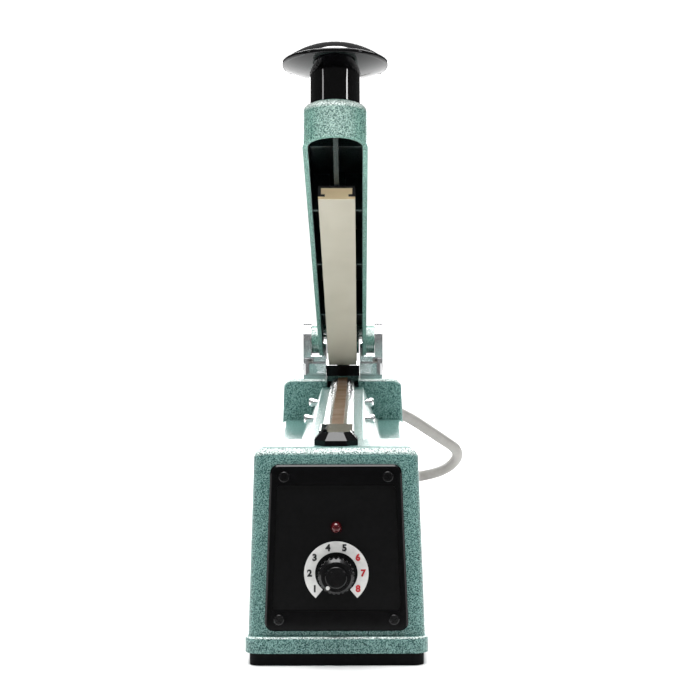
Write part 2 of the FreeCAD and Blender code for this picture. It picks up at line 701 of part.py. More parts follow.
def board_standoffs():
    posts = []
    for x, z in standoff_places():
        post = rod(Vector(x, PANEL_BACK, z), Y_AXIS, STANDOFF_RADIUS, BOARD_BEHIND)
        stud = rod(Vector(x, BOARD_FRONT, z), Y_AXIS, STANDOFF_RADIUS / 2, BOARD_THICK + 1)
        posts.append(fuse(post, stud))
    return Part.Compound(posts)


def board_components():
    """Relay, smoothing capacitor, film capacitor and terminal strip on the back of the board."""
    back = BOARD_FRONT + BOARD_THICK
    blocks = []
    for x, z, width, height, depth in (RELAY, FILM, TERMINAL_STRIP):
        blocks.append(box((x, x + width), (back, back + depth), (DIAL_Z + z, DIAL_Z + z + height)))
    x, z, radius, depth = SMOOTHING
    blocks.append(rod(Vector(x, back, DIAL_Z + z), Y_AXIS, radius, depth))
    return Part.Compound(blocks)


def strap_screw_places():
    reach = CORE_WIDTH / 2 + STRAP_THICK + STRAP_FOOT / 2
    return [(side * reach, CORE_Y) for side in (-1, 1)]


def transformer_holes():
    height = PLATE_TOP + STRAP_THICK + 1
    return [rod(Vector(x, y, 0), Z_AXIS, STRAP_SCREW_RADIUS + FIT, height) for x, y in strap_screw_places()]


def transformer_core():
    """Laminated core with two windows, standing on the bottom plate."""
    half = CORE_WIDTH / 2
    deep = (CORE_Y - CORE_DEPTH / 2, CORE_Y + CORE_DEPTH / 2)
    core = box((-half, half), deep, (PLATE_TOP, PLATE_TOP + CORE_HEIGHT))
    height = (PLATE_TOP + CORE_LIMB, PLATE_TOP + CORE_HEIGHT - CORE_LIMB)
    past = (deep[0] - 1, deep[1] + 1)
    right = box((CORE_LIMB, half - CORE_LIMB), past, height)
    return cut(core, right, mirrored(right))


def transformer_winding():
    """Wound bobbin round the middle limb."""
    reach = CORE_WIDTH / 2 - CORE_LIMB - GAP
    deep = CORE_DEPTH / 2 + COIL_REACH
    height = (PLATE_TOP + CORE_LIMB + FIT, PLATE_TOP + CORE_HEIGHT - CORE_LIMB - FIT)
    outer = prism(rounded_rectangle(2 * reach, 2 * deep, CORE_LIMB / 2), xy, *height)
    limb = CORE_LIMB + FIT
    stack = CORE_DEPTH / 2 + FIT
    inner = box((-limb, limb), (-stack, stack), (0, REAR_TOP))
    coil = outer.cut(inner)
    coil.translate(Vector(0, CORE_Y, 0))
    return coil


def transformer_bracket():
    """Strap over the core with a foot each side on the bottom plate."""
    inner = CORE_WIDTH / 2 + FIT
    outer = inner + STRAP_THICK
    top = PLATE_TOP + CORE_HEIGHT + FIT
    deep = (CORE_Y - CORE_DEPTH / 3, CORE_Y + CORE_DEPTH / 3)
    strap = box((-outer, outer), deep, (PLATE_TOP, top + STRAP_THICK))
    strap = strap.cut(box((-inner, inner), (deep[0] - 1, deep[1] + 1), (PLATE_TOP - 1, top)))
    foot = box((outer - 1, outer + STRAP_FOOT), deep, (PLATE_TOP, PLATE_TOP + STRAP_THICK))
    strap = fuse(strap, foot, mirrored(foot))
    return cut(strap, *transformer_holes())


def transformer_screws():
    screws = []
    for x, y in strap_screw_places():
        seat = Vector(x, y, PLATE_TOP + STRAP_THICK)
        shank = rod(seat, -Z_AXIS, STRAP_SCREW_RADIUS, STRAP_THICK + PLATE_THICK - FIT)
        screws.append(fuse(shank, cross_head(seat, Z_AXIS, STRAP_SCREW_RADIUS * 1.9, STRAP_SCREW_RADIUS)))
    return Part.Compound(screws)


def sealing_rail():
    half = RAIL_WIDTH / 2
    foot = [(-half, RAIL_SEAT, 0), (half, RAIL_SEAT, 0)]
    section = foot + [(half, RAIL_TOP, RAIL_ROUND), (-half, RAIL_TOP, RAIL_ROUND)]
    return prism(section, xz, RAIL_FRONT, RAIL_REAR)


def rail_screws():
    """Side screws through the spine that hold the rail, two each side."""
    height = SPINE_TOP - RAIL_SCREW_DROP
    seat = spine_half(height - RAIL_SCREW_HEAD)
    tip = RAIL_WIDTH / 2 + 2 * FIT
    screws = []
    for y in rail_screw_places():
        shank = rod(Vector(tip, y, height), X_AXIS, RAIL_SCREW_RADIUS, seat - tip)
        collar = rod(Vector(seat, y, height), X_AXIS, RAIL_SCREW_NECK, RAIL_SCREW_COLLAR)
        head_seat = Vector(seat + RAIL_SCREW_COLLAR, y, height)
        head = cross_head(head_seat, X_AXIS, RAIL_SCREW_HEAD, RAIL_SCREW_RISE)
        screw = fuse(shank, collar, head)
        screws += [screw, mirrored(screw)]
    return Part.Compound(screws)


def bed_strip(width, low, high, front, rear):
    return box((-width / 2, width / 2), (front, rear), (low, high))


def element_insulation():
    return bed_strip(TAPE_WIDTH, RAIL_TOP, RAIL_TOP + INSULATION_THICK, RAIL_FRONT, RAIL_REAR)


def heating_element():
    low = RAIL_TOP + INSULATION_THICK
    front = RAIL_FRONT - ELECTRODE_LENGTH / 2
    rear = RAIL_REAR + (HINGE_BASE_FRONT - RAIL_REAR) / 2
    return bed_strip(ELEMENT_WIDTH, low, low + ELEMENT_THICK, front, rear)


def ptfe_cover():
    cover = bed_strip(TAPE_WIDTH, RAIL_TOP + INSULATION_THICK, BED_TOP, RAIL_FRONT, RAIL_REAR)
    return cover.cut(heating_element())


def front_terminal():
    """Hollow black block over the front end of the element."""
    half = TERMINAL_WIDTH / 2
    corner = TERMINAL_WALL / 2
    foot = [(-half, SPINE_TOP, 0), (half, SPINE_TOP, 0)]
    section = foot + [(half, TERMINAL_TOP, corner), (-half, TERMINAL_TOP, corner)]
    block = prism(section, xz, TERMINAL_FRONT, RAIL_FRONT)
    inner = half - 2 * TERMINAL_WALL
    ceiling = RAIL_TOP + INSULATION_THICK + ELEMENT_THICK + FIT
    deep = (TERMINAL_FRONT + 2 * TERMINAL_WALL, RAIL_FRONT + 1)
    return block.cut(box((-inner, inner), deep, (SPINE_TOP - 1, ceiling)))


def octagon(inset, level):
    """Outline of the cap with its corners cut, drawn in by inset."""
    x = CAP_WIDTH / 2 - inset
    front = TERMINAL_FRONT - CAP_LENGTH + inset
    rear = TERMINAL_FRONT - inset
    c = CAP_CHAMFER - inset / 2
    points = [(-x + c, front), (x - c, front), (x, front + c), (x, rear - c), (x - c, rear), (-x + c, rear)]
    points += [(-x, rear - c), (-x, front + c)]
    return outline([(u, v, 0) for u, v in points], xy(level))


def terminal_cap():
    """Eight-sided cap with sloping facets at the front end of the bed."""
    shoulder = SPINE_TOP + (CAP_TOP - SPINE_TOP) * 0.4
    foot = Part.Face(octagon(0, SPINE_TOP)).extrude(Z_AXIS * (shoulder - SPINE_TOP))
    crown = Part.makeLoft([octagon(0, shoulder), octagon(CAP_SLOPE, CAP_TOP)], True, True)
    return fuse(foot, crown)


def front_electrode():
    """Brass strip under the end of the element, standing on the spine."""
    half = ELECTRODE_WIDTH / 2
    top = RAIL_TOP + INSULATION_THICK
    front = RAIL_FRONT - ELECTRODE_LENGTH
    bar = box((-half, half), (front, RAIL_FRONT - FIT), (top - ELECTRODE_THICK, top))
    leg = box((-half, half), (front, front + ELECTRODE_WIDTH), (SPINE_TOP, top))
    place = Vector(0, front + half, SPINE_TOP - 1)
    hole = rod(place, Z_AXIS, ELECTRODE_SCREW_RADIUS + FIT, CAP_TOP - SPINE_TOP)
    return fuse(bar, leg).cut(hole)


def rear_electrode():
    """Brass block under the rear end of the element."""
    half = ELECTRODE_WIDTH / 2
    deep = (RAIL_REAR + 2 * FIT, HINGE_BASE_FRONT - 2 * GAP)
    block = box((-half, half), deep, (SPINE_TOP, RAIL_TOP + INSULATION_THICK))
    middle = (deep[0] + deep[1]) / 2
    hole = rod(Vector(0, middle, SPINE_TOP - 1), Z_AXIS, ELECTRODE_SCREW_RADIUS + FIT, CAP_TOP - SPINE_TOP)
    return block.cut(hole)


def electrode_screws():
    """Studs that fix the two electrodes."""
    front = RAIL_FRONT - ELECTRODE_LENGTH + ELECTRODE_WIDTH / 2
    rear = (RAIL_REAR + 2 * FIT + HINGE_BASE_FRONT - 2 * GAP) / 2
    height = RAIL_TOP + INSULATION_THICK - SPINE_TOP
    places = [Vector(0, y, SPINE_TOP) for y in (front, rear)]
    return Part.Compound([rod(place, Z_AXIS, ELECTRODE_SCREW_RADIUS, height) for place in places])


def bracket_screw_places():
    x = (BRACKET_OUTER + OUTER_LEG_START) / 2 - 1.0
    ends = (HINGE_BASE_FRONT + BRACKET_SCREW_INSET, HINGE_BASE_BACK - BRACKET_SCREW_INSET)
    return [(side * x, y) for side in (-1, 1) for y in ends]


def hinge_base():
    """Black block between the brackets, slotted for the arm's tail."""
    width = 2 * (BRACKET_INNER - GAP)
    middle = (HINGE_BASE_FRONT + HINGE_BASE_BACK) / 2
    top = REAR_TOP + HINGE_BLOCK_RISE
    corners = rounded_rectangle(width, HINGE_BASE_BACK - HINGE_BASE_FRONT, 2.0)
    block = prism([(u, v + middle, r) for u, v, r in corners], xy, REAR_TOP, top)
    slot = TAIL_WIDTH / 2 + 2.0
    return block.cut(box((-slot, slot), (PIVOT_Y - 12, HINGE_BASE_BACK - 3), (REAR_TOP - 1, top + 1)))


def right_hinge_bracket():
    """Plated bracket: foot, short inner leg, front web and tall outer leg with the pin hole."""
    half = LEG_DEPTH / 2
    foot_top = BRACKET_FLOOR + FOOT_THICK
    front = HINGE_BASE_FRONT + GAP
    back = HINGE_BASE_BACK - GAP
    inner_side = [(BRACKET_INNER, back, 0), (BRACKET_INNER, front, 0)]
    outer_side = [(BRACKET_OUTER, front, FOOT_CORNER), (BRACKET_OUTER, back, FOOT_CORNER)]
    foot = prism(inner_side + outer_side, xy, REAR_TOP, foot_top)
    inner_foot = [(-half, BRACKET_FLOOR, 0), (half, BRACKET_FLOOR, 0)]
    inner_corners = inner_foot + [(half, INNER_LEG_TOP, LEG_CORNER), (-half, INNER_LEG_TOP, LEG_CORNER)]
    inner_corners = [(PIVOT_Y + u, v, r) for u, v, r in inner_corners]
    inner = prism(inner_corners, yz, BRACKET_INNER, BRACKET_INNER + INNER_LEG)
    ridge = []
    for edge in inner.Edges:
        high = all(vertex.Z > INNER_LEG_TOP - 1e-3 for vertex in edge.Vertexes)
        if high and abs(edge.tangentAt(edge.FirstParameter).y) > 0.9:
            ridge.append(edge)
    inner = inner.makeFillet(INNER_LEG * 0.4, ridge)
    lower = box((OUTER_LEG_START, BRACKET_OUTER), (PIVOT_Y - half, PIVOT_Y + half), (BRACKET_FLOOR, PIVOT_Z))
    upper = rod(Vector(OUTER_LEG_START, PIVOT_Y, PIVOT_Z), X_AXIS, half, OUTER_LEG)
    web_deep = (PIVOT_Y - half, PIVOT_Y - half + WEB_THICK)
    web = box((BRACKET_INNER, BRACKET_OUTER), web_deep, (BRACKET_FLOOR, WEB_TOP))
    bracket = fuse(foot, inner, lower, upper, web)
    cuts = [rod(Vector(BOSS_REACH, PIVOT_Y, PIVOT_Z), X_AXIS, PIN_RADIUS, BRACKET_OUTER)]
    for x, y in bracket_screw_places():
        hole = HINGE_BASE_THICK + FOOT_THICK + 2
        cuts.append(rod(Vector(x, y, REAR_TOP - 1), Z_AXIS, BRACKET_SCREW_RADIUS + FIT, hole))
    return cut(bracket, *cuts)


def left_hinge_bracket():
    return mirrored(right_hinge_bracket())


def bracket_screws():
    screws = []
    for x, y in bracket_screw_places():
        seat = Vector(x, y, BRACKET_FLOOR + FOOT_THICK)
        shank = rod(seat, -Z_AXIS, BRACKET_SCREW_RADIUS, FOOT_THICK + HINGE_BASE_THICK + WALL)
        screws.append(fuse(shank, hexagon(seat, Z_AXIS, BRACKET_SCREW_HEX, BRACKET_SCREW_RISE)))
    return Part.Compound(screws)


def hinge_pins():
    """A short pivot pin each side, fixed in the bracket's outer leg."""
    pin = rod(Vector(BOSS_INNER, PIVOT_Y, PIVOT_Z), X_AXIS, PIN_RADIUS, BRACKET_OUTER - BOSS_INNER)
    return Part.Compound([pin, mirrored(pin)])


def opened(shape):
    """Swings a piece of the closed arm up to its rest position."""
    lifted = shape.copy()
    lifted.rotate(PIVOT, X_AXIS, -OPEN_ANGLE)
    return lifted


def arm_profile(points, low, high):
    """Solid across X of a side profile given along and above the closed arm."""
    return prism([(PIVOT_Y - a, PIVOT_Z + n, r) for a, n, r in points], yz, low, high)


def arm_plan(inset, start):
    """Plan of the arm with its round nose, as a tall solid."""
    half = ARM_WIDTH / 2 - inset
    straight = box((-half, half), (PIVOT_Y - STEM_PLACE, PIVOT_Y - start), (0, 2 * PIVOT_Z))
    nose = rod(Vector(0, PIVOT_Y - STEM_PLACE, 0), Z_AXIS, half, 2 * PIVOT_Z)
    return fuse(straight, nose)


def arm_top(a):
    """Height of the arm's top above the pivot, with the nose square to the knob."""
    bend = STEM_PLACE - ARM_WIDTH / 2
    lean = math.tan(math.radians(KNOB_LEAN))
    if a >= bend:
        return ARM_TOP_FRONT - (a - STEM_PLACE) * lean
    share = a / bend
    return ARM_TOP_REAR + (ARM_TOP_FRONT + (STEM_PLACE - bend) * lean - ARM_TOP_REAR) * share


def arm_casting():
    """Ribbed channel with a round nose, hinge bosses and a tail for the springs."""
    root = LEG_DEPTH / 2 + 3 * GAP
    bend = STEM_PLACE - ARM_WIDTH / 2
    far = ARM_TIP + 1
    foot_clear = BRACKET_FLOOR + FOOT_THICK + 3 * GAP - PIVOT_Z
    step = PIVOT_Y - HINGE_BASE_FRONT + 2 * GAP
    lower = [(step + 2, ARM_RIM, 0), (far, ARM_RIM, 0)]
    upper = [(far, arm_top(far), 0), (bend, arm_top(bend), 0), (root, arm_top(root), 0)]
    rear = [(root, foot_clear, 0), (step, foot_clear, 0)]
    half = ARM_WIDTH / 2
    shell = arm_profile(lower + upper + rear, -half, half).common(arm_plan(0, 0))
    ridge = []
    for edge in shell.Edges:
        middle = edge.valueAt((edge.FirstParameter + edge.LastParameter) / 2)
        along = PIVOT_Y - middle.y
        on_top = abs(middle.z - PIVOT_Z - arm_top(along)) < 0.2
        if on_top and (abs(middle.x) > half * 0.9 or along > STEM_PLACE + half * 0.5):
            ridge.append(edge)
    shell = shell.makeFillet(ARM_ROUND, ridge)
    roof = [(place, arm_top(place) - ARM_ROOF, 0) for place in (far, bend, 0)]
    hollow = arm_profile([(0, ARM_RIM - 1, 0), (far, ARM_RIM - 1, 0)] + roof, -half, half)
    hollow = hollow.common(arm_plan(ARM_WALL, -1))
    shell = fuse(shell.cut(hollow), *arm_ribs(hollow))
    barrel = rod(Vector(-BOSS_REACH, PIVOT_Y, PIVOT_Z), X_AXIS, BOSS_RADIUS, 2 * BOSS_REACH)
    block_half = BRACKET_INNER - 2 * GAP
    core_corners = [(-5, -5, 0), (root + 4, -5, 0), (root + 4, 5, 0), (-5, 5, 0)]
    core = arm_profile(core_corners, -block_half, block_half)
    crown = arm_top(root) - 1
    neck = arm_profile([(0, 3, 0), (root + 2, 3, 0), (root + 2, crown, 0), (0, crown, 0)], -half, half)
    leg_room = box((block_half, BOSS_INNER), (PIVOT_Y - root, PIVOT_Y + root), (0, PIVOT_Z + 2.5))
    bore = rod(Vector(-BOSS_REACH - 1, PIVOT_Y, PIVOT_Z), X_AXIS, PIN_RADIUS + FIT, 2 * BOSS_REACH + 2)
    middle_fill = rod(Vector(-block_half, PIVOT_Y, PIVOT_Z), X_AXIS, PIN_RADIUS + 1, 2 * block_half)
    casting = fuse(shell, barrel, core, neck)
    casting = cut(casting, leg_room, mirrored(leg_room), bore)
    casting = fuse(casting, middle_fill)
    casting = cut(casting, *arm_cuts())
    tail_deep = (PIVOT_Y - TAIL_THICK / 2, PIVOT_Y + TAIL_THICK / 2)
    tail = box((-TAIL_WIDTH / 2, TAIL_WIDTH / 2), tail_deep, (TAIL_END, PIVOT_Z))
    tail = tail.cut(rod(Vector(-TAIL_WIDTH, PIVOT_Y, SPRING_Z), X_AXIS, SPRING_PIN_RADIUS, 2 * TAIL_WIDTH))
    return fuse(opened(casting), tail)


def arm_ribs(hollow):
    """Cross ribs that carry the strip holder, screw bosses, and the web in the nose."""
    half = ARM_WIDTH / 2
    ribs = []
    for place in RIB_PLACES:
        end = place + RIB_THICK
        foot = [(place, HOLDER_BACK, 0), (end, HOLDER_BACK, 0)]
        rib = foot + [(end, ARM_TOP_REAR, 0), (place, ARM_TOP_REAR, 0)]
        ribs.append(arm_profile(rib, -half, half))
        ribs.append(rod(holder_screw_place(place), Z_AXIS, 3 * HOLDER_SCREW_RADIUS, PIVOT_Z))
    low = arm_top(NOSE_RIB_PLACE) - ARM_ROOF - NOSE_RIB_DEPTH
    nose = [(NOSE_RIB_PLACE, low, 0), (NOSE_RIB_PLACE + RIB_THICK, low, 0)]
    nose += [(NOSE_RIB_PLACE + RIB_THICK, ARM_TOP_REAR, 0), (NOSE_RIB_PLACE, ARM_TOP_REAR, 0)]
    ribs.append(arm_profile(nose, -half, half))
    web = [(RIB_PLACES[-1], HOLDER_BACK, 0), (STRIP_END + 3, HOLDER_BACK, 0), (ARM_TIP, low, 0)]
    web += [(ARM_TIP, ARM_TOP_REAR, 0), (RIB_PLACES[-1], ARM_TOP_REAR, 0)]
    ribs.append(arm_profile(web, -WEB_RIB_THICK / 2, WEB_RIB_THICK / 2))
    return [rib.common(hollow) for rib in ribs]


def holder_screw_place(rib):
    return Vector(0, PIVOT_Y - rib - 3 * HOLDER_SCREW_RADIUS, PIVOT_Z + HOLDER_BACK)


def knob_seat():
    """Centre of the knob's seat on the closed arm, and the knob's axis."""
    lean = math.radians(KNOB_LEAN)
    seat = Vector(0, PIVOT_Y - STEM_PLACE, PIVOT_Z + ARM_TOP_FRONT)
    return seat, Vector(0, -math.sin(lean), math.cos(lean))


def arm_cuts():
    """Screw holes of the arm, while it is closed."""
    seat, axis = knob_seat()
    cuts = [rod(seat - axis * (3 * ARM_ROOF), axis, KNOB_SCREW_RADIUS + FIT, 6 * ARM_ROOF)]
    head_top = seat - axis * (ARM_ROOF + GAP)
    cuts.append(rod(head_top, -axis, KNOB_SCREW_HEAD + GAP, -ARM_RIM))
    for place in RIB_PLACES:
        depth = -HOLDER_BACK / 2
        cuts.append(rod(holder_screw_place(place), Z_AXIS, HOLDER_SCREW_RADIUS + FIT, depth))
    return cuts


def spring_pin():
    """Cross pin in the tail that the springs hook on."""
    half = SPRING_X + SPRING_RADIUS
    return rod(Vector(-half, PIVOT_Y, SPRING_Z), X_AXIS, SPRING_PIN_RADIUS, 2 * half)


def spring_anchor():
    """Rod across the inside of the spine that holds the springs' front ends."""
    half = spine_half(SPRING_Z) - WALL / 3
    return rod(Vector(-half, ANCHOR_Y, SPRING_Z), X_AXIS, SPRING_PIN_RADIUS, 2 * half)


def holder_profile(points):
    """Solid along the strip of a section given in X and height above the pivot."""
    corners = [(x, PIVOT_Z + n, 0) for x, n in points]
    return prism(corners, xz, PIVOT_Y - STRIP_END, PIVOT_Y - STRIP_START)


def tee(half, low, high):
    return holder_profile([(-half, low), (half, low), (half, high), (-half, high)])


def strip_holder():
    """Channel with turned-in lips, screwed under the arm's ribs."""
    outer = tee(STRIP_WIDTH / 2, HOLDER_FACE, HOLDER_BACK)
    inner = tee(STRIP_WIDTH / 2 - HOLDER_WALL, HOLDER_FACE + HOLDER_WALL, HOLDER_BACK - HOLDER_WALL)
    mouth = tee(STRIP_NECK / 2 + 2 * FIT, HOLDER_FACE - 1, HOLDER_FACE + HOLDER_WALL)
    holes = []
    for place in RIB_PLACES:
        top = holder_screw_place(place)
        holes.append(rod(top, -Z_AXIS, 2 * HOLDER_SCREW_RADIUS + FIT, HOLDER_WALL))
    return opened(cut(outer, inner, mouth, *holes))


def silicone_strip():
    """Pad with a neck and an inner flange held by the holder's lips."""
    pad = tee(STRIP_WIDTH / 2, STRIP_FACE, HOLDER_FACE)
    neck = tee(STRIP_NECK / 2, HOLDER_FACE, HOLDER_FACE + HOLDER_WALL)
    flange = tee(STRIP_FLANGE / 2, HOLDER_FACE + HOLDER_WALL, HOLDER_BACK - HOLDER_WALL - FIT)
    return opened(fuse(pad, neck, flange))


def holder_screws():
    screws = []
    for place in RIB_PLACES:
        top = holder_screw_place(place)
        head = rod(top, -Z_AXIS, 2 * HOLDER_SCREW_RADIUS, HOLDER_WALL)
        screws.append(opened(fuse(head, rod(top, Z_AXIS, HOLDER_SCREW_RADIUS, -HOLDER_BACK / 2 - FIT))))
    return Part.Compound(screws)


def press_knob():
    """Mushroom knob on a round stem, leaning a little forward of the arm."""
    seat, axis = knob_seat()
    lip = PRESS_LIP
    top = PRESS_RIM + PRESS_DOME
    height = PRESS_DOME - lip
    sphere = (PRESS_RADIUS ** 2 + height ** 2) / (2 * height)
    halfway = math.asin(PRESS_RADIUS / sphere) / 2
    underside = Part.Arc(
        Vector(STEM_RADIUS, 0, STEM_HEIGHT),
        Vector((STEM_RADIUS + PRESS_RADIUS) / 2, 0, STEM_HEIGHT + (PRESS_RIM - STEM_HEIGHT) * 0.36),
        Vector(PRESS_RADIUS, 0, PRESS_RIM),
    )
    edge = Part.Arc(
        Vector(PRESS_RADIUS, 0, PRESS_RIM),
        Vector(PRESS_RADIUS + lip / 2, 0, PRESS_RIM + lip / 2),
        Vector(PRESS_RADIUS, 0, PRESS_RIM + lip),
    )
    dome = Part.Arc(
        Vector(PRESS_RADIUS, 0, PRESS_RIM + lip),
        Vector(sphere * math.sin(halfway), 0, top - sphere * (1 - math.cos(halfway))),
        Vector(0, 0, top),
    )
    foot = Part.LineSegment(Vector(0, 0, 0), Vector(STEM_RADIUS, 0, 0))
    side = Part.LineSegment(Vector(STEM_RADIUS, 0, 0), Vector(STEM_RADIUS, 0, STEM_HEIGHT))
    middle = Part.LineSegment(Vector(0, 0, top), Vector(0, 0, 0))
    wire = Part.Wire([part.toShape() for part in (foot, side, underside, edge, dome, middle)])
    knob = Part.Face(wire).revolve(Vector(0, 0, 0), Z_AXIS, 360)
    knob = knob.cut(rod(Vector(0, 0, -1), Z_AXIS, KNOB_SCREW_RADIUS + FIT, STEM_HEIGHT))
    knob.rotate(Vector(0, 0, 0), X_AXIS, KNOB_LEAN)
    knob.translate(seat)
    return opened(knob)


def knob_screw():
    """Screw from inside the arm's nose up into the knob's stem."""
    seat, axis = knob_seat()
    under = seat - axis * (ARM_ROOF + GAP)
    shank = rod(under, axis, KNOB_SCREW_RADIUS, ARM_ROOF + STEM_HEIGHT - 2)
    head = rod(under, -axis, KNOB_SCREW_HEAD, KNOB_SCREW_RADIUS)
    return opened(fuse(shank, head))


def arc_from(start, tangent, end):
    """Edge that leaves start along tangent and reaches end on one arc, or a line where they agree."""
    chord = end - start
    across = chord - tangent * chord.dot(tangent)
    if across.Length < 1e-6:
        return Part.LineSegment(start, end).toShape()
    side = across.normalize()
    radius = chord.dot(chord) / (2 * chord.dot(side))
    centre = start + side * radius
    outward = (start + chord * 0.5 - centre)
    if outward.Length < 1e-6:
        outward = tangent * 1.0
    return Part.Arc(start, centre + outward.normalize() * radius, end).toShape()


def winding(knots):
    """Smooth path of paired arcs through (point, tangent) knots."""
    edges = []
    for (start, first), (end, last) in zip(knots, knots[1:]):
        chord = end - start
        both = first + last
        spread = 2 * (1 - first.dot(last))
        pull = chord.dot(both)
        if spread < 1e-9:
            reach = chord.dot(chord) / (2 * pull)
        else:
            reach = (-pull + math.sqrt(pull * pull + spread * chord.dot(chord))) / spread
        joint = (start + first * reach + end - last * reach) * 0.5
        edges.append(arc_from(start, first, joint))
        edges.append(arc_from(end, last * -1, joint))
    return Part.Wire(Part.__sortEdges__(edges))


def tube(path, start, tangent, radius):
    """Round wire or cord along a path."""
    ring = Part.Wire(Part.Circle(start, tangent, radius).toShape())
    return path.makePipeShell([ring], True, False)


def spring_knots(x):
    """Knots of one extension spring: hook, straight, turns, straight, hook."""
    top = SPRING_Z + SPRING_RADIUS
    low = SPRING_Z - SPRING_RADIUS
    middle = (ANCHOR_Y + PIVOT_Y) / 2
    first = middle - SPRING_COIL_LENGTH / 2
    advance = SPRING_COIL_LENGTH / SPRING_TURNS / (2 * math.pi)
    knots = [
        (Vector(x, ANCHOR_Y, low), -Y_AXIS),
        (Vector(x, ANCHOR_Y - SPRING_RADIUS, SPRING_Z), Z_AXIS),
        (Vector(x, ANCHOR_Y, top), Y_AXIS),
        (Vector(x, first - SPRING_RADIUS, top), Y_AXIS),
    ]
    for quarter in range(1, 4 * SPRING_TURNS):
        angle = quarter * math.pi / 2
        across = SPRING_RADIUS * math.sin(angle)
        above = SPRING_RADIUS * math.cos(angle)
        place = Vector(x + across, first + advance * angle, SPRING_Z + above)
        way = Vector(SPRING_RADIUS * math.cos(angle), advance, -SPRING_RADIUS * math.sin(angle)).normalize()
        knots.append((place, way))
    knots += [
        (Vector(x, first + SPRING_COIL_LENGTH + SPRING_RADIUS, top), Y_AXIS),
        (Vector(x, PIVOT_Y, top), Y_AXIS),
        (Vector(x, PIVOT_Y + SPRING_RADIUS, SPRING_Z), -Z_AXIS),
        (Vector(x, PIVOT_Y, low), -Y_AXIS),
    ]
    return knots


def return_springs():
    springs = []
    for side in (-1, 1):
        knots = spring_knots(side * SPRING_X)
        springs.append(tube(winding(knots), knots[0][0], knots[0][1], SPRING_WIRE))
    return Part.Compound(springs)


def switch_height():
    return REAR_TOP - WALL - SWITCH_WIDTH / 2 - 2.0


def switch_front():
    """Front face of the switch, just behind where the tail ends its swing."""
    swing = math.radians(OPEN_ANGLE)
    drop = PIVOT_Z - switch_height() + PLUNGER_RADIUS
    reach = drop * math.tan(swing) + TAIL_THICK / 2 / math.cos(swing)
    return PIVOT_Y + reach + GAP + PLUNGER_RISE


def switch_half():
    return ((-SWITCH_LENGTH / 2, SWITCH_LENGTH / 2), switch_height() - SWITCH_WIDTH / 2)


def microswitch():
    across, low = switch_half()
    front = switch_front()
    case = box(across, (front, front + SWITCH_DEPTH), (low, low + SWITCH_WIDTH))
    bore = rod(Vector(0, front - 1, switch_height()), Y_AXIS, PLUNGER_RADIUS + FIT, SWITCH_DEPTH / 2 + 1)
    holes = [rod(place, Y_AXIS, 1.0 + FIT, SWITCH_DEPTH + 2) for place in switch_screw_places()]
    return cut(case, bore, *holes)


def switch_screw_places():
    reach = SWITCH_LENGTH / 2 - 2.5
    return [Vector(side * reach, switch_front() - 1, switch_height()) for side in (-1, 1)]


def switch_bracket():
    """Block that carries the switch on the rear wall."""
    across, low = switch_half()
    deep = (switch_front() + SWITCH_DEPTH, REAR_BACK - WALL)
    block = box((across[0] - 2, across[1] + 2), deep, (low - 1.5, low + SWITCH_WIDTH + 1.0))
    holes = [rod(place, Y_AXIS, 1.0 + FIT, SWITCH_DEPTH + 4) for place in switch_screw_places()]
    return cut(block, *holes)


def switch_screws():
    screws = []
    for place in switch_screw_places():
        seat = place + Y_AXIS
        screws.append(fuse(rod(seat, Y_AXIS, 1.0, SWITCH_DEPTH + 2), rod(seat, -Y_AXIS, 1.8, 1.0)))
    return Part.Compound(screws)


def switch_plunger():
    """Button that the arm's tail drives into the switch."""
    tip = switch_front() - PLUNGER_RISE - PLUNGER_TRAVEL
    length = PLUNGER_RISE + PLUNGER_TRAVEL + SWITCH_DEPTH / 4
    return rod(Vector(0, tip, switch_height()), Y_AXIS, PLUNGER_RADIUS, length)


def cord_start():
    return Vector(CORD_EXIT.x, REAR_BACK + GLAND_LENGTH, CORD_EXIT.z)


def strain_relief():
    """Tapered sleeve through the rear wall, with a flange outside."""
    base = Vector(CORD_EXIT.x, REAR_BACK, CORD_EXIT.z)
    inside = rod(base, -Y_AXIS, GLAND_RADIUS, 2 * WALL)
    flange = rod(base, Y_AXIS, GLAND_FLANGE, WALL)
    cone = Part.makeCone(GLAND_RADIUS, GLAND_TIP, GLAND_LENGTH, base, Y_AXIS)
    return fuse(inside, flange, cone)


def rounded_route(points):
    """Straight runs joined by arcs as large as the runs allow, and the arcs' radii."""
    edges = []
    radii = []
    last = points[0]
    for before, corner, after in zip(points, points[1:], points[2:]):
        back = before - corner
        ahead = after - corner
        turn = math.pi - back.getAngle(ahead)
        trim = 0.45 * min(back.Length, ahead.Length)
        radii.append(trim / math.tan(turn / 2))
        enter = corner + back.normalize() * trim
        leave = corner + ahead.normalize() * trim
        edges.append(Part.LineSegment(last, enter).toShape())
        edges.append(arc_from(enter, back * -1, leave))
        last = leave
    edges.append(Part.LineSegment(last, points[-1]).toShape())
    return Part.Wire(edges), radii


def coil_knots():
    """Knots of the put-away coil: in on the floor, up a layer, and out again on top."""
    pitch = 2 * CORD_RADIUS + COIL_GAP
    low = CORD_RADIUS + TIE_THICK
    outer = COIL_MIDDLE + pitch * COIL_TURNS / 4
    knots = []
    steps = round(COIL_TURNS * 8)

    def place(turn):
        radius = outer - pitch * min(turn, COIL_TURNS - turn)
        share = min(max(2 * (turn - COIL_TURNS / 2) + 0.5, 0), 1)
        level = low + pitch * (share * share * (3 - 2 * share))
        angle = math.radians(COIL_START) + 2 * math.pi * turn
        return COIL_CENTRE + Vector(radius * math.cos(angle), radius * math.sin(angle), level)

    for step in range(steps + 1):
        turn = COIL_TURNS * step / steps
        way = (place(turn + 1e-4) - place(turn - 1e-4)).normalize()
        knots.append((place(turn), way))
    knots[0] = (knots[0][0], Vector(knots[0][1].x, knots[0][1].y, 0).normalize())
    return knots


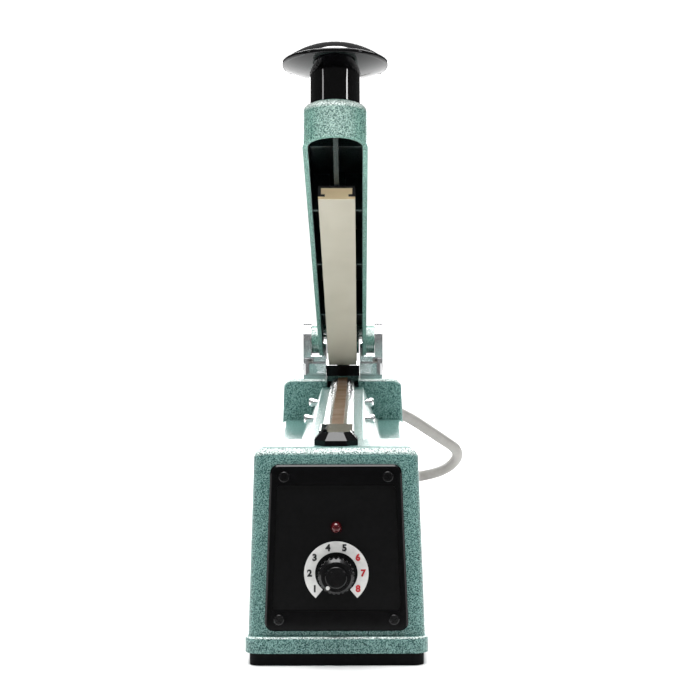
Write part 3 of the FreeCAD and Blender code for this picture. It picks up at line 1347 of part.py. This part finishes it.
def least_gap(knots, radius):
    """Smallest clear distance between turns, measured between points along the winding."""
    points = winding(knots).discretize(Number=900)
    skip = int(2.5 * math.pi * radius / ((points[1] - points[0]).Length))
    gaps = []
    for index, point in enumerate(points):
        for other in points[index + skip:]:
            gaps.append((point - other).Length - 2 * radius)
    return min(gaps)


def cord_route():
    knots = coil_knots()
    start, way = knots[0]
    return [cord_start()] + list(ROUTE) + [start - way * COIL_LEAD_IN, start]


def power_cord():
    """Free stretch of the lead from the strain relief to the coil."""
    points = cord_route()
    path, radii = rounded_route(points)
    print("cord radii", [round(radius, 1) for radius in radii])
    solid = tube(path, points[0], (points[1] - points[0]).normalize(), CORD_RADIUS)
    share = solid.Volume / (math.pi * CORD_RADIUS ** 2 * path.Length)
    print("cord length", round(path.Length, 1), "volume share", round(share, 4))
    return solid


def cord_end():
    """Where the lead enters the plug, and the way it runs there."""
    point, way = coil_knots()[-1]
    return point + way * COIL_LEAD_OUT, way


def cord_coil():
    """Put-away length of the lead, one unbroken tube in two layers."""
    knots = coil_knots()
    end, way = cord_end()
    path = winding(knots + [(end, way)])
    solid = tube(path, knots[0][0], knots[0][1], CORD_RADIUS)
    print("coil length", round(path.Length, 1), "least gap", round(least_gap(knots, CORD_RADIUS), 2))
    return solid


def cord_tie():
    """Band round the coil's turns, on the side towards the machine."""
    pitch = 2 * CORD_RADIUS + COIL_GAP
    reach = pitch * COIL_TURNS / 4 + CORD_RADIUS + COIL_GAP
    near = COIL_MIDDLE - reach
    far = COIL_MIDDLE + reach
    top = 2 * CORD_RADIUS + pitch + TIE_THICK + COIL_GAP
    half = TIE_WIDTH / 2
    outer = box((-half, half), (-far - TIE_THICK, -near + TIE_THICK), (0, top + TIE_THICK))
    inner = box((-half - 1, half + 1), (-far, -near), (TIE_THICK - GAP, top))
    band = outer.cut(inner)
    band.translate(COIL_CENTRE)
    return band


def plug_frame(shape):
    """Sets a piece made along +X at the cord's end, pointing the way the cord runs."""
    end, way = cord_end()
    placed = shape.copy()
    placed.rotate(Vector(0, 0, 0), Z_AXIS, math.degrees(math.atan2(way.y, way.x)))
    placed.translate(end)
    return placed


def plug_body():
    """Moulded plug with a tapered nose round the cord."""
    nose = Part.makeCone(CORD_RADIUS + 1.2, CORD_RADIUS + 3.2, PLUG_NOSE, Vector(0, 0, 0), X_AXIS)
    half = PLUG_WIDTH / 2
    high = PLUG_HEIGHT / 2
    corner = PLUG_WIDTH / 4
    section = [(-half, -high, corner), (half, -high, corner), (half, high, corner), (-half, high, corner)]
    neck = PLUG_NOSE - 1
    body = prism(section, yz, neck, PLUG_NOSE + PLUG_LENGTH)
    rim = [edge for edge in body.Edges if all(abs(v.X - neck) < 1e-4 for v in edge.Vertexes)]
    body = body.makeFillet(PLUG_ROUND, rim)
    return plug_frame(fuse(nose, body))


def plug_blades():
    """Two flat blades and a round earth pin."""
    face = PLUG_NOSE + PLUG_LENGTH
    high = BLADE_HEIGHT / 2
    blades = []
    for side in (-1, 1):
        middle = side * BLADE_SPACING / 2
        thick = (middle - BLADE_THICK / 2, middle + BLADE_THICK / 2)
        blades.append(plug_frame(box((face, face + BLADE_LENGTH), thick, (-high + 3.5, high + 3.5))))
    blades.append(plug_frame(rod(Vector(face, 0, -8.0), X_AXIS, EARTH_PIN_RADIUS, BLADE_LENGTH + 3)))
    return Part.Compound(blades)


PIECES = (
    body_casting, bottom_plate, rubber_base, bottom_screws,
    control_panel, panel_label, dial_scale, panel_screws, indicator_led,
    timer_potentiometer, potentiometer_nut, timer_shaft, timer_knob,
    timer_board, board_components, board_standoffs,
    transformer_core, transformer_winding, transformer_bracket, transformer_screws,
    sealing_rail, rail_screws, element_insulation, heating_element, ptfe_cover,
    front_terminal, terminal_cap, front_electrode, rear_electrode, electrode_screws,
    hinge_base, left_hinge_bracket, right_hinge_bracket, bracket_screws, hinge_pins,
    spring_anchor, return_springs, microswitch, switch_bracket, switch_screws, switch_plunger,
    arm_casting, spring_pin, strip_holder, silicone_strip, holder_screws, press_knob, knob_screw,
    strain_relief, power_cord, cord_coil, cord_tie, plug_body, plug_blades,
)

os.makedirs("parts", exist_ok=True)
for piece in PIECES:
    piece().exportStep("parts/" + piece.__name__ + ".step")
pointer_solid().exportStep("parts/knob_pointer.step")
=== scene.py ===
"""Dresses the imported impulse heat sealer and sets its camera, floor and light."""

import math

import bpy
from mathutils import Matrix, Quaternion, Vector


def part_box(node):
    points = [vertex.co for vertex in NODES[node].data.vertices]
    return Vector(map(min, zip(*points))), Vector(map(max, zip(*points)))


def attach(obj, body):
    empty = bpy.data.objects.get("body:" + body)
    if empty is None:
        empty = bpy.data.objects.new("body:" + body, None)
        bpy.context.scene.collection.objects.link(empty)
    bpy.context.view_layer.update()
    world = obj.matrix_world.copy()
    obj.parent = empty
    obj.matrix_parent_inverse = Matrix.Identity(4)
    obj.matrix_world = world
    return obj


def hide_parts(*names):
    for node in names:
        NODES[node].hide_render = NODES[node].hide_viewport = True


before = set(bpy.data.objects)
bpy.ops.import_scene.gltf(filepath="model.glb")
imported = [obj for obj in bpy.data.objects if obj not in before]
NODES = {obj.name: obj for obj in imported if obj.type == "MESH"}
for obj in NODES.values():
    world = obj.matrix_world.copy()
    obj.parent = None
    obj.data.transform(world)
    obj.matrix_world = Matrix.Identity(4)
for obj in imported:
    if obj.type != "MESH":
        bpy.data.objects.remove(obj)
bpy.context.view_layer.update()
SCENE = bpy.context.scene

# Camera, from the photograph's vanishing point and scale
CAMERA_PLACE = Vector((0.0111, -1.1305, 0.196))
FOCAL_PIXELS = 2007.0
FRAME_PIXELS = 700.0
VANISHING = (360.0, 236.0)
ROLL = math.radians(-0.2)
SENSOR_MM = 36.0

# Dial figures
FIGURE_RADIUS = 0.0122
FIGURE_HEIGHT = 0.0042
FIGURE_THICK = 0.00004
FIGURE_BOLD = 0.00011
FIGURE_STEP = 36.0
FIRST_FIGURE = -126.0
FIRST_RED = 6
LAST_FIGURE = 8
DIAL_Z = 0.0426

# Closed arm: pivot, opening angle, inner half width, nose and roof
PIVOT = Vector((0.0, 0.189, 0.128))
OPEN_ANGLE = math.radians(17.75)
INNER_HALF = 0.01275
NOSE_CENTRE = 0.4095
ROOF_REAR = 0.0072
ROOF_FALL = 0.0102
ROOT_END = 0.016
STRIP_END = 0.3531

# Mains lead, with the route's points in metres
CORD_RADIUS = 0.0041
CORD_START = Vector((0.020, 0.2525, 0.077))
ROUTE = (
    (0.0200, 0.2850, 0.0770),
    (0.0420, 0.3180, 0.0680),
    (0.0680, 0.3520, 0.0480),
    (0.0885, 0.3860, 0.0320),
    (0.0778, 0.4190, 0.0140),
    (0.0510, 0.4400, 0.0056),
    (0.0170, 0.4400, 0.0050),
)
COIL_CENTRE = Vector((-0.002, 0.366, 0.0))
COIL_MIDDLE = 0.042
COIL_TURNS = 5.18
COIL_START = 135.0
COIL_GAP = 0.0007
COIL_LOW = 0.0050
COIL_LEAD_IN = 0.034
COIL_LEAD_OUT = 0.042
POINTS_PER_TURN = 16

# Stage: the floor, the room's brightness at its front and back and in mirrors, and the lights
FLOOR_HALF = 2.4
FLOOR_BACK = 1.5
FLOOR_DARK = (-0.25, -0.33)
ROOM_TURN = (-0.35, 0.45)
ROOM_GLOW = (0.12, 1.15)
MIRRORED_ROOM = 0.15
LIGHTS = (
    ("overhead", (0.0, 0.3, 2.6), (0.0, 0.3, 0.0), (3.5, 3.5), 38.0),
    ("behind", (0.0, 1.6, 0.3), (0.0, 0.0, 0.1), (1.8, 0.4), 16.0),
    ("above", (-0.1, -0.45, 1.3), (0.0, -0.2, 0.1), (0.9, 0.7), 18.0),
    ("ceiling", (0.0, 0.74, 1.40), (0.0, -0.2, 0.3), (2.0, 0.3), 22.0),
    ("left", (-1.5, -1.1, 0.9), (0.0, -0.1, 0.1), (0.2, 0.2), 1.4),
    ("right", (1.5, -1.1, 0.9), (0.0, -0.1, 0.1), (0.2, 0.2), 3.5),
)


def shader(name, metallic=0.0, coat=0.0, coat_roughness=0.1, specular=0.5):
    """A new material with its node tree and its shader."""
    made = bpy.data.materials.new(name)
    made.use_nodes = True
    tree = made.node_tree
    bsdf = tree.nodes["Principled BSDF"]
    bsdf.inputs["Metallic"].default_value = metallic
    bsdf.inputs["Coat Weight"].default_value = coat
    bsdf.inputs["Coat Roughness"].default_value = coat_roughness
    bsdf.inputs["Specular IOR Level"].default_value = specular
    return made, tree, bsdf


def placed(tree, stretch=(1.0, 1.0, 1.0)):
    """Object coordinates, scaled along each axis."""
    where = tree.nodes.new("ShaderNodeTexCoord")
    mapping = tree.nodes.new("ShaderNodeMapping")
    mapping.inputs["Scale"].default_value = stretch
    tree.links.new(where.outputs["Object"], mapping.inputs["Vector"])
    return mapping.outputs["Vector"]


def noise(tree, scale, detail=3.0, stretch=(1.0, 1.0, 1.0)):
    made = tree.nodes.new("ShaderNodeTexNoise")
    made.inputs["Scale"].default_value = scale
    made.inputs["Detail"].default_value = detail
    tree.links.new(placed(tree, stretch), made.inputs["Vector"])
    return made.outputs["Fac"]


def cells(tree, scale):
    made = tree.nodes.new("ShaderNodeTexVoronoi")
    made.feature = "SMOOTH_F1"
    made.inputs["Scale"].default_value = scale
    tree.links.new(placed(tree), made.inputs["Vector"])
    return made.outputs["Distance"]


def tint(tree, bsdf, factor, stops):
    """Colours the shader by a factor through the given (place, colour) stops."""
    ramp = tree.nodes.new("ShaderNodeValToRGB")
    band = ramp.color_ramp
    while len(band.elements) < len(stops):
        band.elements.new(0.5)
    for element, (place, colour) in zip(band.elements, stops):
        element.position = place
        element.color = (*colour, 1.0)
    tree.links.new(factor, ramp.inputs["Fac"])
    tree.links.new(ramp.outputs["Color"], bsdf.inputs["Base Color"])


def roughen(tree, bsdf, factor, low, high):
    spread = tree.nodes.new("ShaderNodeMapRange")
    spread.inputs["From Min"].default_value = 0.3
    spread.inputs["From Max"].default_value = 0.7
    spread.inputs["To Min"].default_value = low
    spread.inputs["To Max"].default_value = high
    tree.links.new(factor, spread.inputs["Value"])
    tree.links.new(spread.outputs["Result"], bsdf.inputs["Roughness"])


def bump(tree, bsdf, height, strength, distance):
    made = tree.nodes.new("ShaderNodeBump")
    made.inputs["Strength"].default_value = strength
    made.inputs["Distance"].default_value = distance
    tree.links.new(height, made.inputs["Height"])
    tree.links.new(made.outputs["Normal"], bsdf.inputs["Normal"])


def mottled(name, dark, light, rough, scale, relief, stretch=(1.0, 1.0, 1.0), **sockets):
    """A finish whose colour, roughness and relief vary with one noise."""
    made, tree, bsdf = shader(name, **sockets)
    grain = noise(tree, scale, stretch=stretch)
    tint(tree, bsdf, grain, ((0.3, dark), (0.7, light)))
    roughen(tree, bsdf, grain, *rough)
    bump(tree, bsdf, grain, 0.3, relief)
    return made


def joined(tree, operation, first, second):
    """A math node on two values, each a socket or a number."""
    made = tree.nodes.new("ShaderNodeMath")
    made.operation = operation
    for socket, value in zip(made.inputs, (first, second)):
        if isinstance(value, (int, float)):
            socket.default_value = value
        else:
            tree.links.new(value, socket)
    return made.outputs[0]


def arm_frame(tree):
    """Places in the closed arm's own frame: across, along towards the nose, and above the pivot."""
    turn = Matrix.Rotation(OPEN_ANGLE, 3, "X")
    where = tree.nodes.new("ShaderNodeTexCoord")
    mapping = tree.nodes.new("ShaderNodeMapping")
    mapping.inputs["Rotation"].default_value = (OPEN_ANGLE, 0.0, 0.0)
    mapping.inputs["Location"].default_value = -(turn @ PIVOT)
    split = tree.nodes.new("ShaderNodeSeparateXYZ")
    tree.links.new(where.outputs["Object"], mapping.inputs["Vector"])
    tree.links.new(mapping.outputs["Vector"], split.inputs["Vector"])
    along = joined(tree, "MULTIPLY", split.outputs["Y"], -1.0)
    return split.outputs["X"], along, split.outputs["Z"]


def arm_inside(tree):
    """1 on the arm's inner faces, where shade is painted, and 0 elsewhere."""
    across, along, above = arm_frame(tree)
    past = joined(tree, "MAXIMUM", joined(tree, "SUBTRACT", along, NOSE_CENTRE), 0.0)
    aside = joined(tree, "POWER", across, 2.0)
    ahead = joined(tree, "POWER", past, 2.0)
    reach = joined(tree, "SQRT", joined(tree, "ADD", aside, ahead), 0.0)
    within = joined(tree, "LESS_THAN", reach, INNER_HALF)
    fall = joined(tree, "MULTIPLY", along, ROOF_FALL)
    under = joined(tree, "LESS_THAN", joined(tree, "ADD", above, fall), ROOF_REAR)
    clear = joined(tree, "GREATER_THAN", along, ROOT_END)
    return joined(tree, "MULTIPLY", joined(tree, "MULTIPLY", within, under), clear)


def repaint(tree, bsdf, mask, colour):
    """Covers the shader's colour with another one where the mask is 1."""
    before = bsdf.inputs["Base Color"].links[0].from_socket
    mix = tree.nodes.new("ShaderNodeMix")
    mix.data_type = "RGBA"
    mix.inputs[7].default_value = (*colour, 1.0)
    tree.links.new(mask, mix.inputs[0])
    tree.links.new(before, mix.inputs[6])
    tree.links.new(mix.outputs[2], bsdf.inputs["Base Color"])


def ranged(tree, value, low, high):
    """0 to 1 as the value goes from low to high."""
    spread = tree.nodes.new("ShaderNodeMapRange")
    spread.inputs["From Min"].default_value = low
    spread.inputs["From Max"].default_value = high
    tree.links.new(value, spread.inputs["Value"])
    return spread.outputs["Result"]


def rounded_top(tree):
    """1 on the rounded edges that lie between upright and level faces, where a highlight is painted."""
    surface = tree.nodes.new("ShaderNodeTexCoord")
    split = tree.nodes.new("ShaderNodeSeparateXYZ")
    tree.links.new(surface.outputs["Normal"], split.inputs["Vector"])
    steep = ranged(tree, split.outputs["Z"], 0.22, 0.48)
    return joined(tree, "MULTIPLY", steep, ranged(tree, split.outputs["Z"], 0.94, 0.82))


def hammertone(name, shade, painted_inner_shade):
    """Glossy enamel that has drawn up into small dimples, with painted highlights on its rounded top edges,
    and painted shade on the arm's inner faces where asked for.
    """
    made, tree, bsdf = shader(name, coat=0.5, coat_roughness=0.26, specular=0.2)
    dimples = cells(tree, 1850.0)
    speckle = noise(tree, 2900.0, detail=1.0)
    both = joined(tree, "ADD", joined(tree, "MULTIPLY", dimples, 0.6), speckle)
    stops = (
        (0.54, (0.003, 0.024, 0.022)),
        (0.70, (0.029, 0.100, 0.090)),
        (0.86, (0.150, 0.318, 0.285)),
    )
    tint(tree, bsdf, both, [(place, [a * b for a, b in zip(shade, colour)]) for place, colour in stops])
    # Painted highlight: the light flecks on the rounded top edges are painted pale, in place of glints of the
    # light from above.
    painted_highlight = joined(tree, "MULTIPLY", rounded_top(tree), ranged(tree, both, 0.62, 0.86))
    repaint(tree, bsdf, painted_highlight, (0.80, 0.90, 0.86))
    roughen(tree, bsdf, speckle, 0.24, 0.38)
    bump(tree, bsdf, dimples, 0.35, 0.0004)
    if painted_inner_shade:
        # Painted shade: the arm's inner faces are darkened where shade falls inside the channel.
        repaint(tree, bsdf, arm_inside(tree), (0.006, 0.012, 0.012))
    return made


def woven(name, dark, light, scale):
    """Coated cloth: two crossed waves give the weave."""
    made, tree, bsdf = shader(name, specular=0.1)
    waves = []
    for direction in ("X", "Y"):
        wave = tree.nodes.new("ShaderNodeTexWave")
        wave.bands_direction = direction
        wave.inputs["Scale"].default_value = scale
        tree.links.new(placed(tree), wave.inputs["Vector"])
        waves.append(wave.outputs["Fac"])
    weave = joined(tree, "MULTIPLY", *waves)
    tint(tree, bsdf, weave, ((0.1, dark), (0.8, light)))
    roughen(tree, bsdf, noise(tree, 60.0), 0.32, 0.48)
    bump(tree, bsdf, weave, 0.2, 0.00002)
    return made


def silicone():
    """Smooth cream strip, darker on its cut end."""
    made, tree, bsdf = shader("silicone", specular=0.35)
    grain = noise(tree, 90.0)
    tint(tree, bsdf, grain, ((0.3, (0.385, 0.352, 0.283)), (0.7, (0.425, 0.392, 0.322))))
    roughen(tree, bsdf, grain, 0.36, 0.48)
    bump(tree, bsdf, grain, 0.15, 0.00003)
    end = joined(tree, "GREATER_THAN", arm_frame(tree)[1], STRIP_END)
    repaint(tree, bsdf, end, (0.80, 0.65, 0.40))
    return made


def lens():
    """Tinted lamp that lets some light through."""
    made, tree, bsdf = shader("red_lens", coat=0.5, coat_roughness=0.05)
    grain = noise(tree, 500.0)
    tint(tree, bsdf, grain, ((0.3, (0.055, 0.001, 0.003)), (0.7, (0.10, 0.002, 0.005))))
    roughen(tree, bsdf, grain, 0.10, 0.18)
    bsdf.inputs["Transmission Weight"].default_value = 0.25
    return made


GREEN = hammertone("hammertone_green", (1.25, 1.12, 1.14), False)
# The arm's copy of the paint is lighter than the body's as painted light: it stands in for the stronger light
# from above and in front on the arm.
ARM_GREEN = hammertone("hammertone_arm", (1.7, 1.45, 1.36), True)
BLACK = mottled("black_plastic", (0.0012, 0.0012, 0.0015), (0.0024, 0.0024, 0.0028), (0.07, 0.13), 300.0,
                0.000003, specular=0.25)
GLOSS = mottled("black_gloss", (0.0012, 0.0012, 0.0014), (0.0024, 0.0024, 0.0028), (0.02, 0.05), 120.0,
                0.000004, specular=0.35)
FLUTED = mottled("black_fluted", (0.0020, 0.0020, 0.0023), (0.0036, 0.0036, 0.0040), (0.18, 0.28), 300.0,
                 0.00001, specular=0.4)
LABEL = mottled("black_label", (0.0040, 0.0041, 0.0043), (0.0056, 0.0057, 0.0060), (0.34, 0.46), 700.0,
                0.00001, specular=0.1)
PRINT = mottled("light_print", (0.60, 0.60, 0.59), (0.70, 0.70, 0.68), (0.40, 0.55), 400.0, 0.00002)
RUBBER = mottled("rubber_black", (0.003, 0.0032, 0.0036), (0.006, 0.0063, 0.0068), (0.55, 0.75), 500.0,
                 0.0001, specular=0.06)
STEEL = mottled("steel", (0.36, 0.36, 0.36), (0.55, 0.55, 0.55), (0.26, 0.42), 260.0, 0.00004, metallic=1.0)
DARK_STEEL = mottled("blackened_steel", (0.020, 0.020, 0.021), (0.050, 0.050, 0.052), (0.32, 0.48), 240.0,
                     0.00004, metallic=0.4)
CHROME = mottled("chrome", (0.80, 0.81, 0.82), (0.90, 0.91, 0.92), (0.08, 0.15), 180.0, 0.00001,
                 metallic=0.92)
ALUMINIUM = mottled("aluminium", (0.50, 0.50, 0.49), (0.62, 0.62, 0.61), (0.14, 0.24), 500.0, 0.000006,
                    stretch=(1.0, 0.02, 1.0), metallic=1.0)
PTFE = woven("ptfe_brown", (0.085, 0.043, 0.016), (0.150, 0.083, 0.034), 3200.0)
BRASS = mottled("brass", (0.52, 0.37, 0.14), (0.70, 0.53, 0.24), (0.20, 0.36), 240.0, 0.00004, metallic=1.0)
NICHROME = mottled("nichrome", (0.28, 0.27, 0.25), (0.42, 0.40, 0.37), (0.28, 0.42), 300.0, 0.00003,
                   metallic=1.0)
SILICONE = silicone()
LENS = lens()
BOARD = mottled("board_green", (0.016, 0.10, 0.045), (0.035, 0.17, 0.08), (0.30, 0.45), 300.0, 0.00004)
COMPONENT = mottled("component", (0.03, 0.03, 0.04), (0.07, 0.07, 0.08), (0.35, 0.5), 300.0, 0.00004)
IRON = mottled("core_iron", (0.08, 0.08, 0.085), (0.17, 0.17, 0.175), (0.4, 0.6), 700.0, 0.00008,
               stretch=(0.05, 1.0, 0.05), metallic=0.8)
WINDING = mottled("winding", (0.42, 0.26, 0.05), (0.58, 0.38, 0.10), (0.35, 0.5), 200.0, 0.00006)
CORD = mottled("cord_grey", (0.21, 0.205, 0.190), (0.265, 0.259, 0.242), (0.38, 0.52), 160.0, 0.00006)
INK = mottled("black_ink", (0.010, 0.010, 0.011), (0.020, 0.020, 0.021), (0.4, 0.5), 500.0, 0.00001)
RED_INK = mottled("red_ink", (0.42, 0.012, 0.016), (0.52, 0.025, 0.030), (0.4, 0.5), 500.0, 0.00001)

FINISHES = (
    (GREEN, "body_casting"),
    (ARM_GREEN, "arm_casting"),
    (STEEL, "bottom_plate bottom_screws transformer_bracket transformer_screws spring_anchor return_springs"),
    (STEEL, "spring_pin hinge_pins switch_bracket switch_screws holder_screws knob_screw potentiometer_nut"),
    (STEEL, "timer_shaft board_standoffs"),
    (RUBBER, "rubber_base cord_tie"),
    (BLACK, "control_panel front_terminal hinge_base microswitch timer_potentiometer"),
    (GLOSS, "press_knob terminal_cap"),
    (FLUTED, "timer_knob panel_screws"),
    (LABEL, "panel_label"),
    (PRINT, "dial_scale knob_pointer switch_plunger"),
    (DARK_STEEL, "strip_holder"),
    (LENS, "indicator_led"),
    (BOARD, "timer_board"),
    (COMPONENT, "board_components"),
    (IRON, "transformer_core"),
    (WINDING, "transformer_winding"),
    (ALUMINIUM, "sealing_rail"),
    (CHROME, "rail_screws left_hinge_bracket right_hinge_bracket bracket_screws"),
    (PTFE, "ptfe_cover element_insulation"),
    (NICHROME, "heating_element"),
    (BRASS, "front_electrode rear_electrode electrode_screws plug_blades"),
    (SILICONE, "silicone_strip"),
    (CORD, "strain_relief power_cord cord_coil plug_body"),
)


def dress_nodes():
    for finish, names in FINISHES:
        for name in names.split():
            data = NODES[name].data
            data.materials.clear()
            data.materials.append(finish)


def add_figures():
    """Figures round the dial, standing on the printed ring."""
    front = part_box("dial_scale")[0].y
    for figure in range(1, LAST_FIGURE + 1):
        angle = math.radians(FIRST_FIGURE + FIGURE_STEP * (figure - 1))
        text = bpy.data.curves.new("dial_figure_%d" % figure, "FONT")
        text.body = str(figure)
        text.size = FIGURE_HEIGHT
        text.align_x = "CENTER"
        text.align_y = "CENTER"
        text.extrude = FIGURE_THICK
        text.offset = FIGURE_BOLD
        text.bevel_depth = FIGURE_BOLD
        text.materials.append(RED_INK if figure >= FIRST_RED else INK)
        piece = bpy.data.objects.new("dial_figure_%d" % figure, text)
        SCENE.collection.objects.link(piece)
        x = FIGURE_RADIUS * math.sin(angle)
        z = DIAL_Z + FIGURE_RADIUS * math.cos(angle)
        piece.location = (x, front - FIGURE_THICK, z)
        piece.rotation_euler = (math.pi / 2, 0.0, 0.0)
        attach(piece, "base")


def coil_place(turn):
    """A point of the put-away coil: two layers, wound inward and out again."""
    pitch = 2 * CORD_RADIUS + COIL_GAP
    radius = COIL_MIDDLE + pitch * COIL_TURNS / 4 - pitch * min(turn, COIL_TURNS - turn)
    share = min(max(2 * (turn - COIL_TURNS / 2) + 0.5, 0.0), 1.0)
    level = COIL_LOW + pitch * share * share * (3 - 2 * share)
    angle = math.radians(COIL_START) + 2 * math.pi * turn
    return COIL_CENTRE + Vector((radius * math.cos(angle), radius * math.sin(angle), level))


def coil_way(turn):
    way = coil_place(turn + 1e-4) - coil_place(turn - 1e-4)
    return Vector((way.x, way.y, 0.0)).normalized()


def cord_points():
    points = [CORD_START]
    points.extend(Vector(point) for point in ROUTE)
    points.append(coil_place(0.0) - coil_way(0.0) * COIL_LEAD_IN)
    steps = round(COIL_TURNS * POINTS_PER_TURN)
    for step in range(steps + 1):
        points.append(coil_place(COIL_TURNS * step / steps))
    points.append(points[-1] + coil_way(COIL_TURNS) * COIL_LEAD_OUT)
    return points


def add_cord():
    """The lead as one smooth curve, from the strain relief through the coil to the plug."""
    line = bpy.data.curves.new("mains_lead", "CURVE")
    line.dimensions = "3D"
    line.bevel_depth = CORD_RADIUS
    line.bevel_resolution = 6
    line.resolution_u = 8
    line.use_fill_caps = True
    points = cord_points()
    spline = line.splines.new("NURBS")
    spline.points.add(len(points) - 1)
    for knot, point in zip(spline.points, points):
        knot.co = (*point, 1.0)
    spline.order_u = 3
    spline.use_endpoint_u = True
    line.materials.append(CORD)
    piece = bpy.data.objects.new("mains_lead", line)
    SCENE.collection.objects.link(piece)
    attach(piece, "base")
    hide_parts("power_cord", "cord_coil")


def add_camera():
    data = bpy.data.cameras.new("camera")
    data.sensor_width = SENSOR_MM
    data.lens = FOCAL_PIXELS * SENSOR_MM / FRAME_PIXELS
    camera = bpy.data.objects.new("camera", data)
    camera.location = CAMERA_PLACE
    middle = FRAME_PIXELS / 2
    right = (middle - VANISHING[0]) / FOCAL_PIXELS
    down = (middle - VANISHING[1]) / FOCAL_PIXELS
    look = Vector((right, 1.0, -down))
    aim = look.to_track_quat("-Z", "Y") @ Quaternion((0.0, 0.0, 1.0), ROLL)
    camera.rotation_euler = aim.to_euler()
    SCENE.collection.objects.link(camera)
    SCENE.camera = camera


def add_light(name, place, target, size, power):
    data = bpy.data.lights.new(name, "AREA")
    data.shape = "RECTANGLE"
    data.size = size[0]
    data.size_y = size[1]
    data.energy = power
    light = bpy.data.objects.new(name, data)
    light.location = place
    light.rotation_euler = (Vector(target) - Vector(place)).to_track_quat("-Z", "Y").to_euler()
    SCENE.collection.objects.link(light)


def pale_floor():
    """White sweep, whose part in front of the object shows dark in mirrors, as the room there is."""
    made = mottled("pale_floor", (0.86, 0.86, 0.86), (0.89, 0.89, 0.89), (0.6, 0.7), 3.0, 0.0001)
    tree = made.node_tree
    where = tree.nodes.new("ShaderNodeTexCoord")
    split = tree.nodes.new("ShaderNodeSeparateXYZ")
    path = tree.nodes.new("ShaderNodeLightPath")
    tree.links.new(where.outputs["Object"], split.inputs["Vector"])
    front = ranged(tree, split.outputs["Y"], *FLOOR_DARK)
    dark = joined(tree, "MULTIPLY", path.outputs["Is Glossy Ray"], front)
    repaint(tree, tree.nodes["Principled BSDF"], dark, (0.06, 0.06, 0.06))
    return made


def add_stage():
    """Pale floor, white surroundings and soft light."""
    half = FLOOR_HALF
    mesh = bpy.data.meshes.new("floor")
    corners = [(-half, -half, 0), (half, -half, 0), (half, FLOOR_BACK, 0), (-half, FLOOR_BACK, 0)]
    mesh.from_pydata(corners, [], [(0, 1, 2, 3)])
    mesh.materials.append(pale_floor())
    floor = bpy.data.objects.new("floor", mesh)
    SCENE.collection.objects.link(floor)
    world = bpy.data.worlds.new("surroundings")
    world.use_nodes = True
    tree = world.node_tree
    glow = tree.nodes["Background"]
    glow.inputs["Color"].default_value = (1.0, 1.0, 1.0, 1.0)
    where = tree.nodes.new("ShaderNodeTexCoord")
    split = tree.nodes.new("ShaderNodeSeparateXYZ")
    spread = tree.nodes.new("ShaderNodeMapRange")
    spread.inputs["From Min"].default_value = ROOM_TURN[0]
    spread.inputs["From Max"].default_value = ROOM_TURN[1]
    spread.inputs["To Min"].default_value = ROOM_GLOW[0]
    spread.inputs["To Max"].default_value = ROOM_GLOW[1]
    tree.links.new(where.outputs["Generated"], split.inputs["Vector"])
    tree.links.new(split.outputs["Y"], spread.inputs["Value"])
    path = tree.nodes.new("ShaderNodeLightPath")
    mirrored = path.outputs["Is Glossy Ray"]
    plain = joined(tree, "MULTIPLY", spread.outputs["Result"], joined(tree, "SUBTRACT", 1.0, mirrored))
    strength = joined(tree, "ADD", plain, joined(tree, "MULTIPLY", mirrored, MIRRORED_ROOM))
    white = joined(tree, "MAXIMUM", strength, path.outputs["Is Camera Ray"])
    tree.links.new(white, glow.inputs["Strength"])
    SCENE.world = world
    for light in LIGHTS:
        add_light(*light)
    SCENE.view_settings.view_transform = "Standard"


dress_nodes()
add_figures()
add_cord()
add_camera()
add_stage()
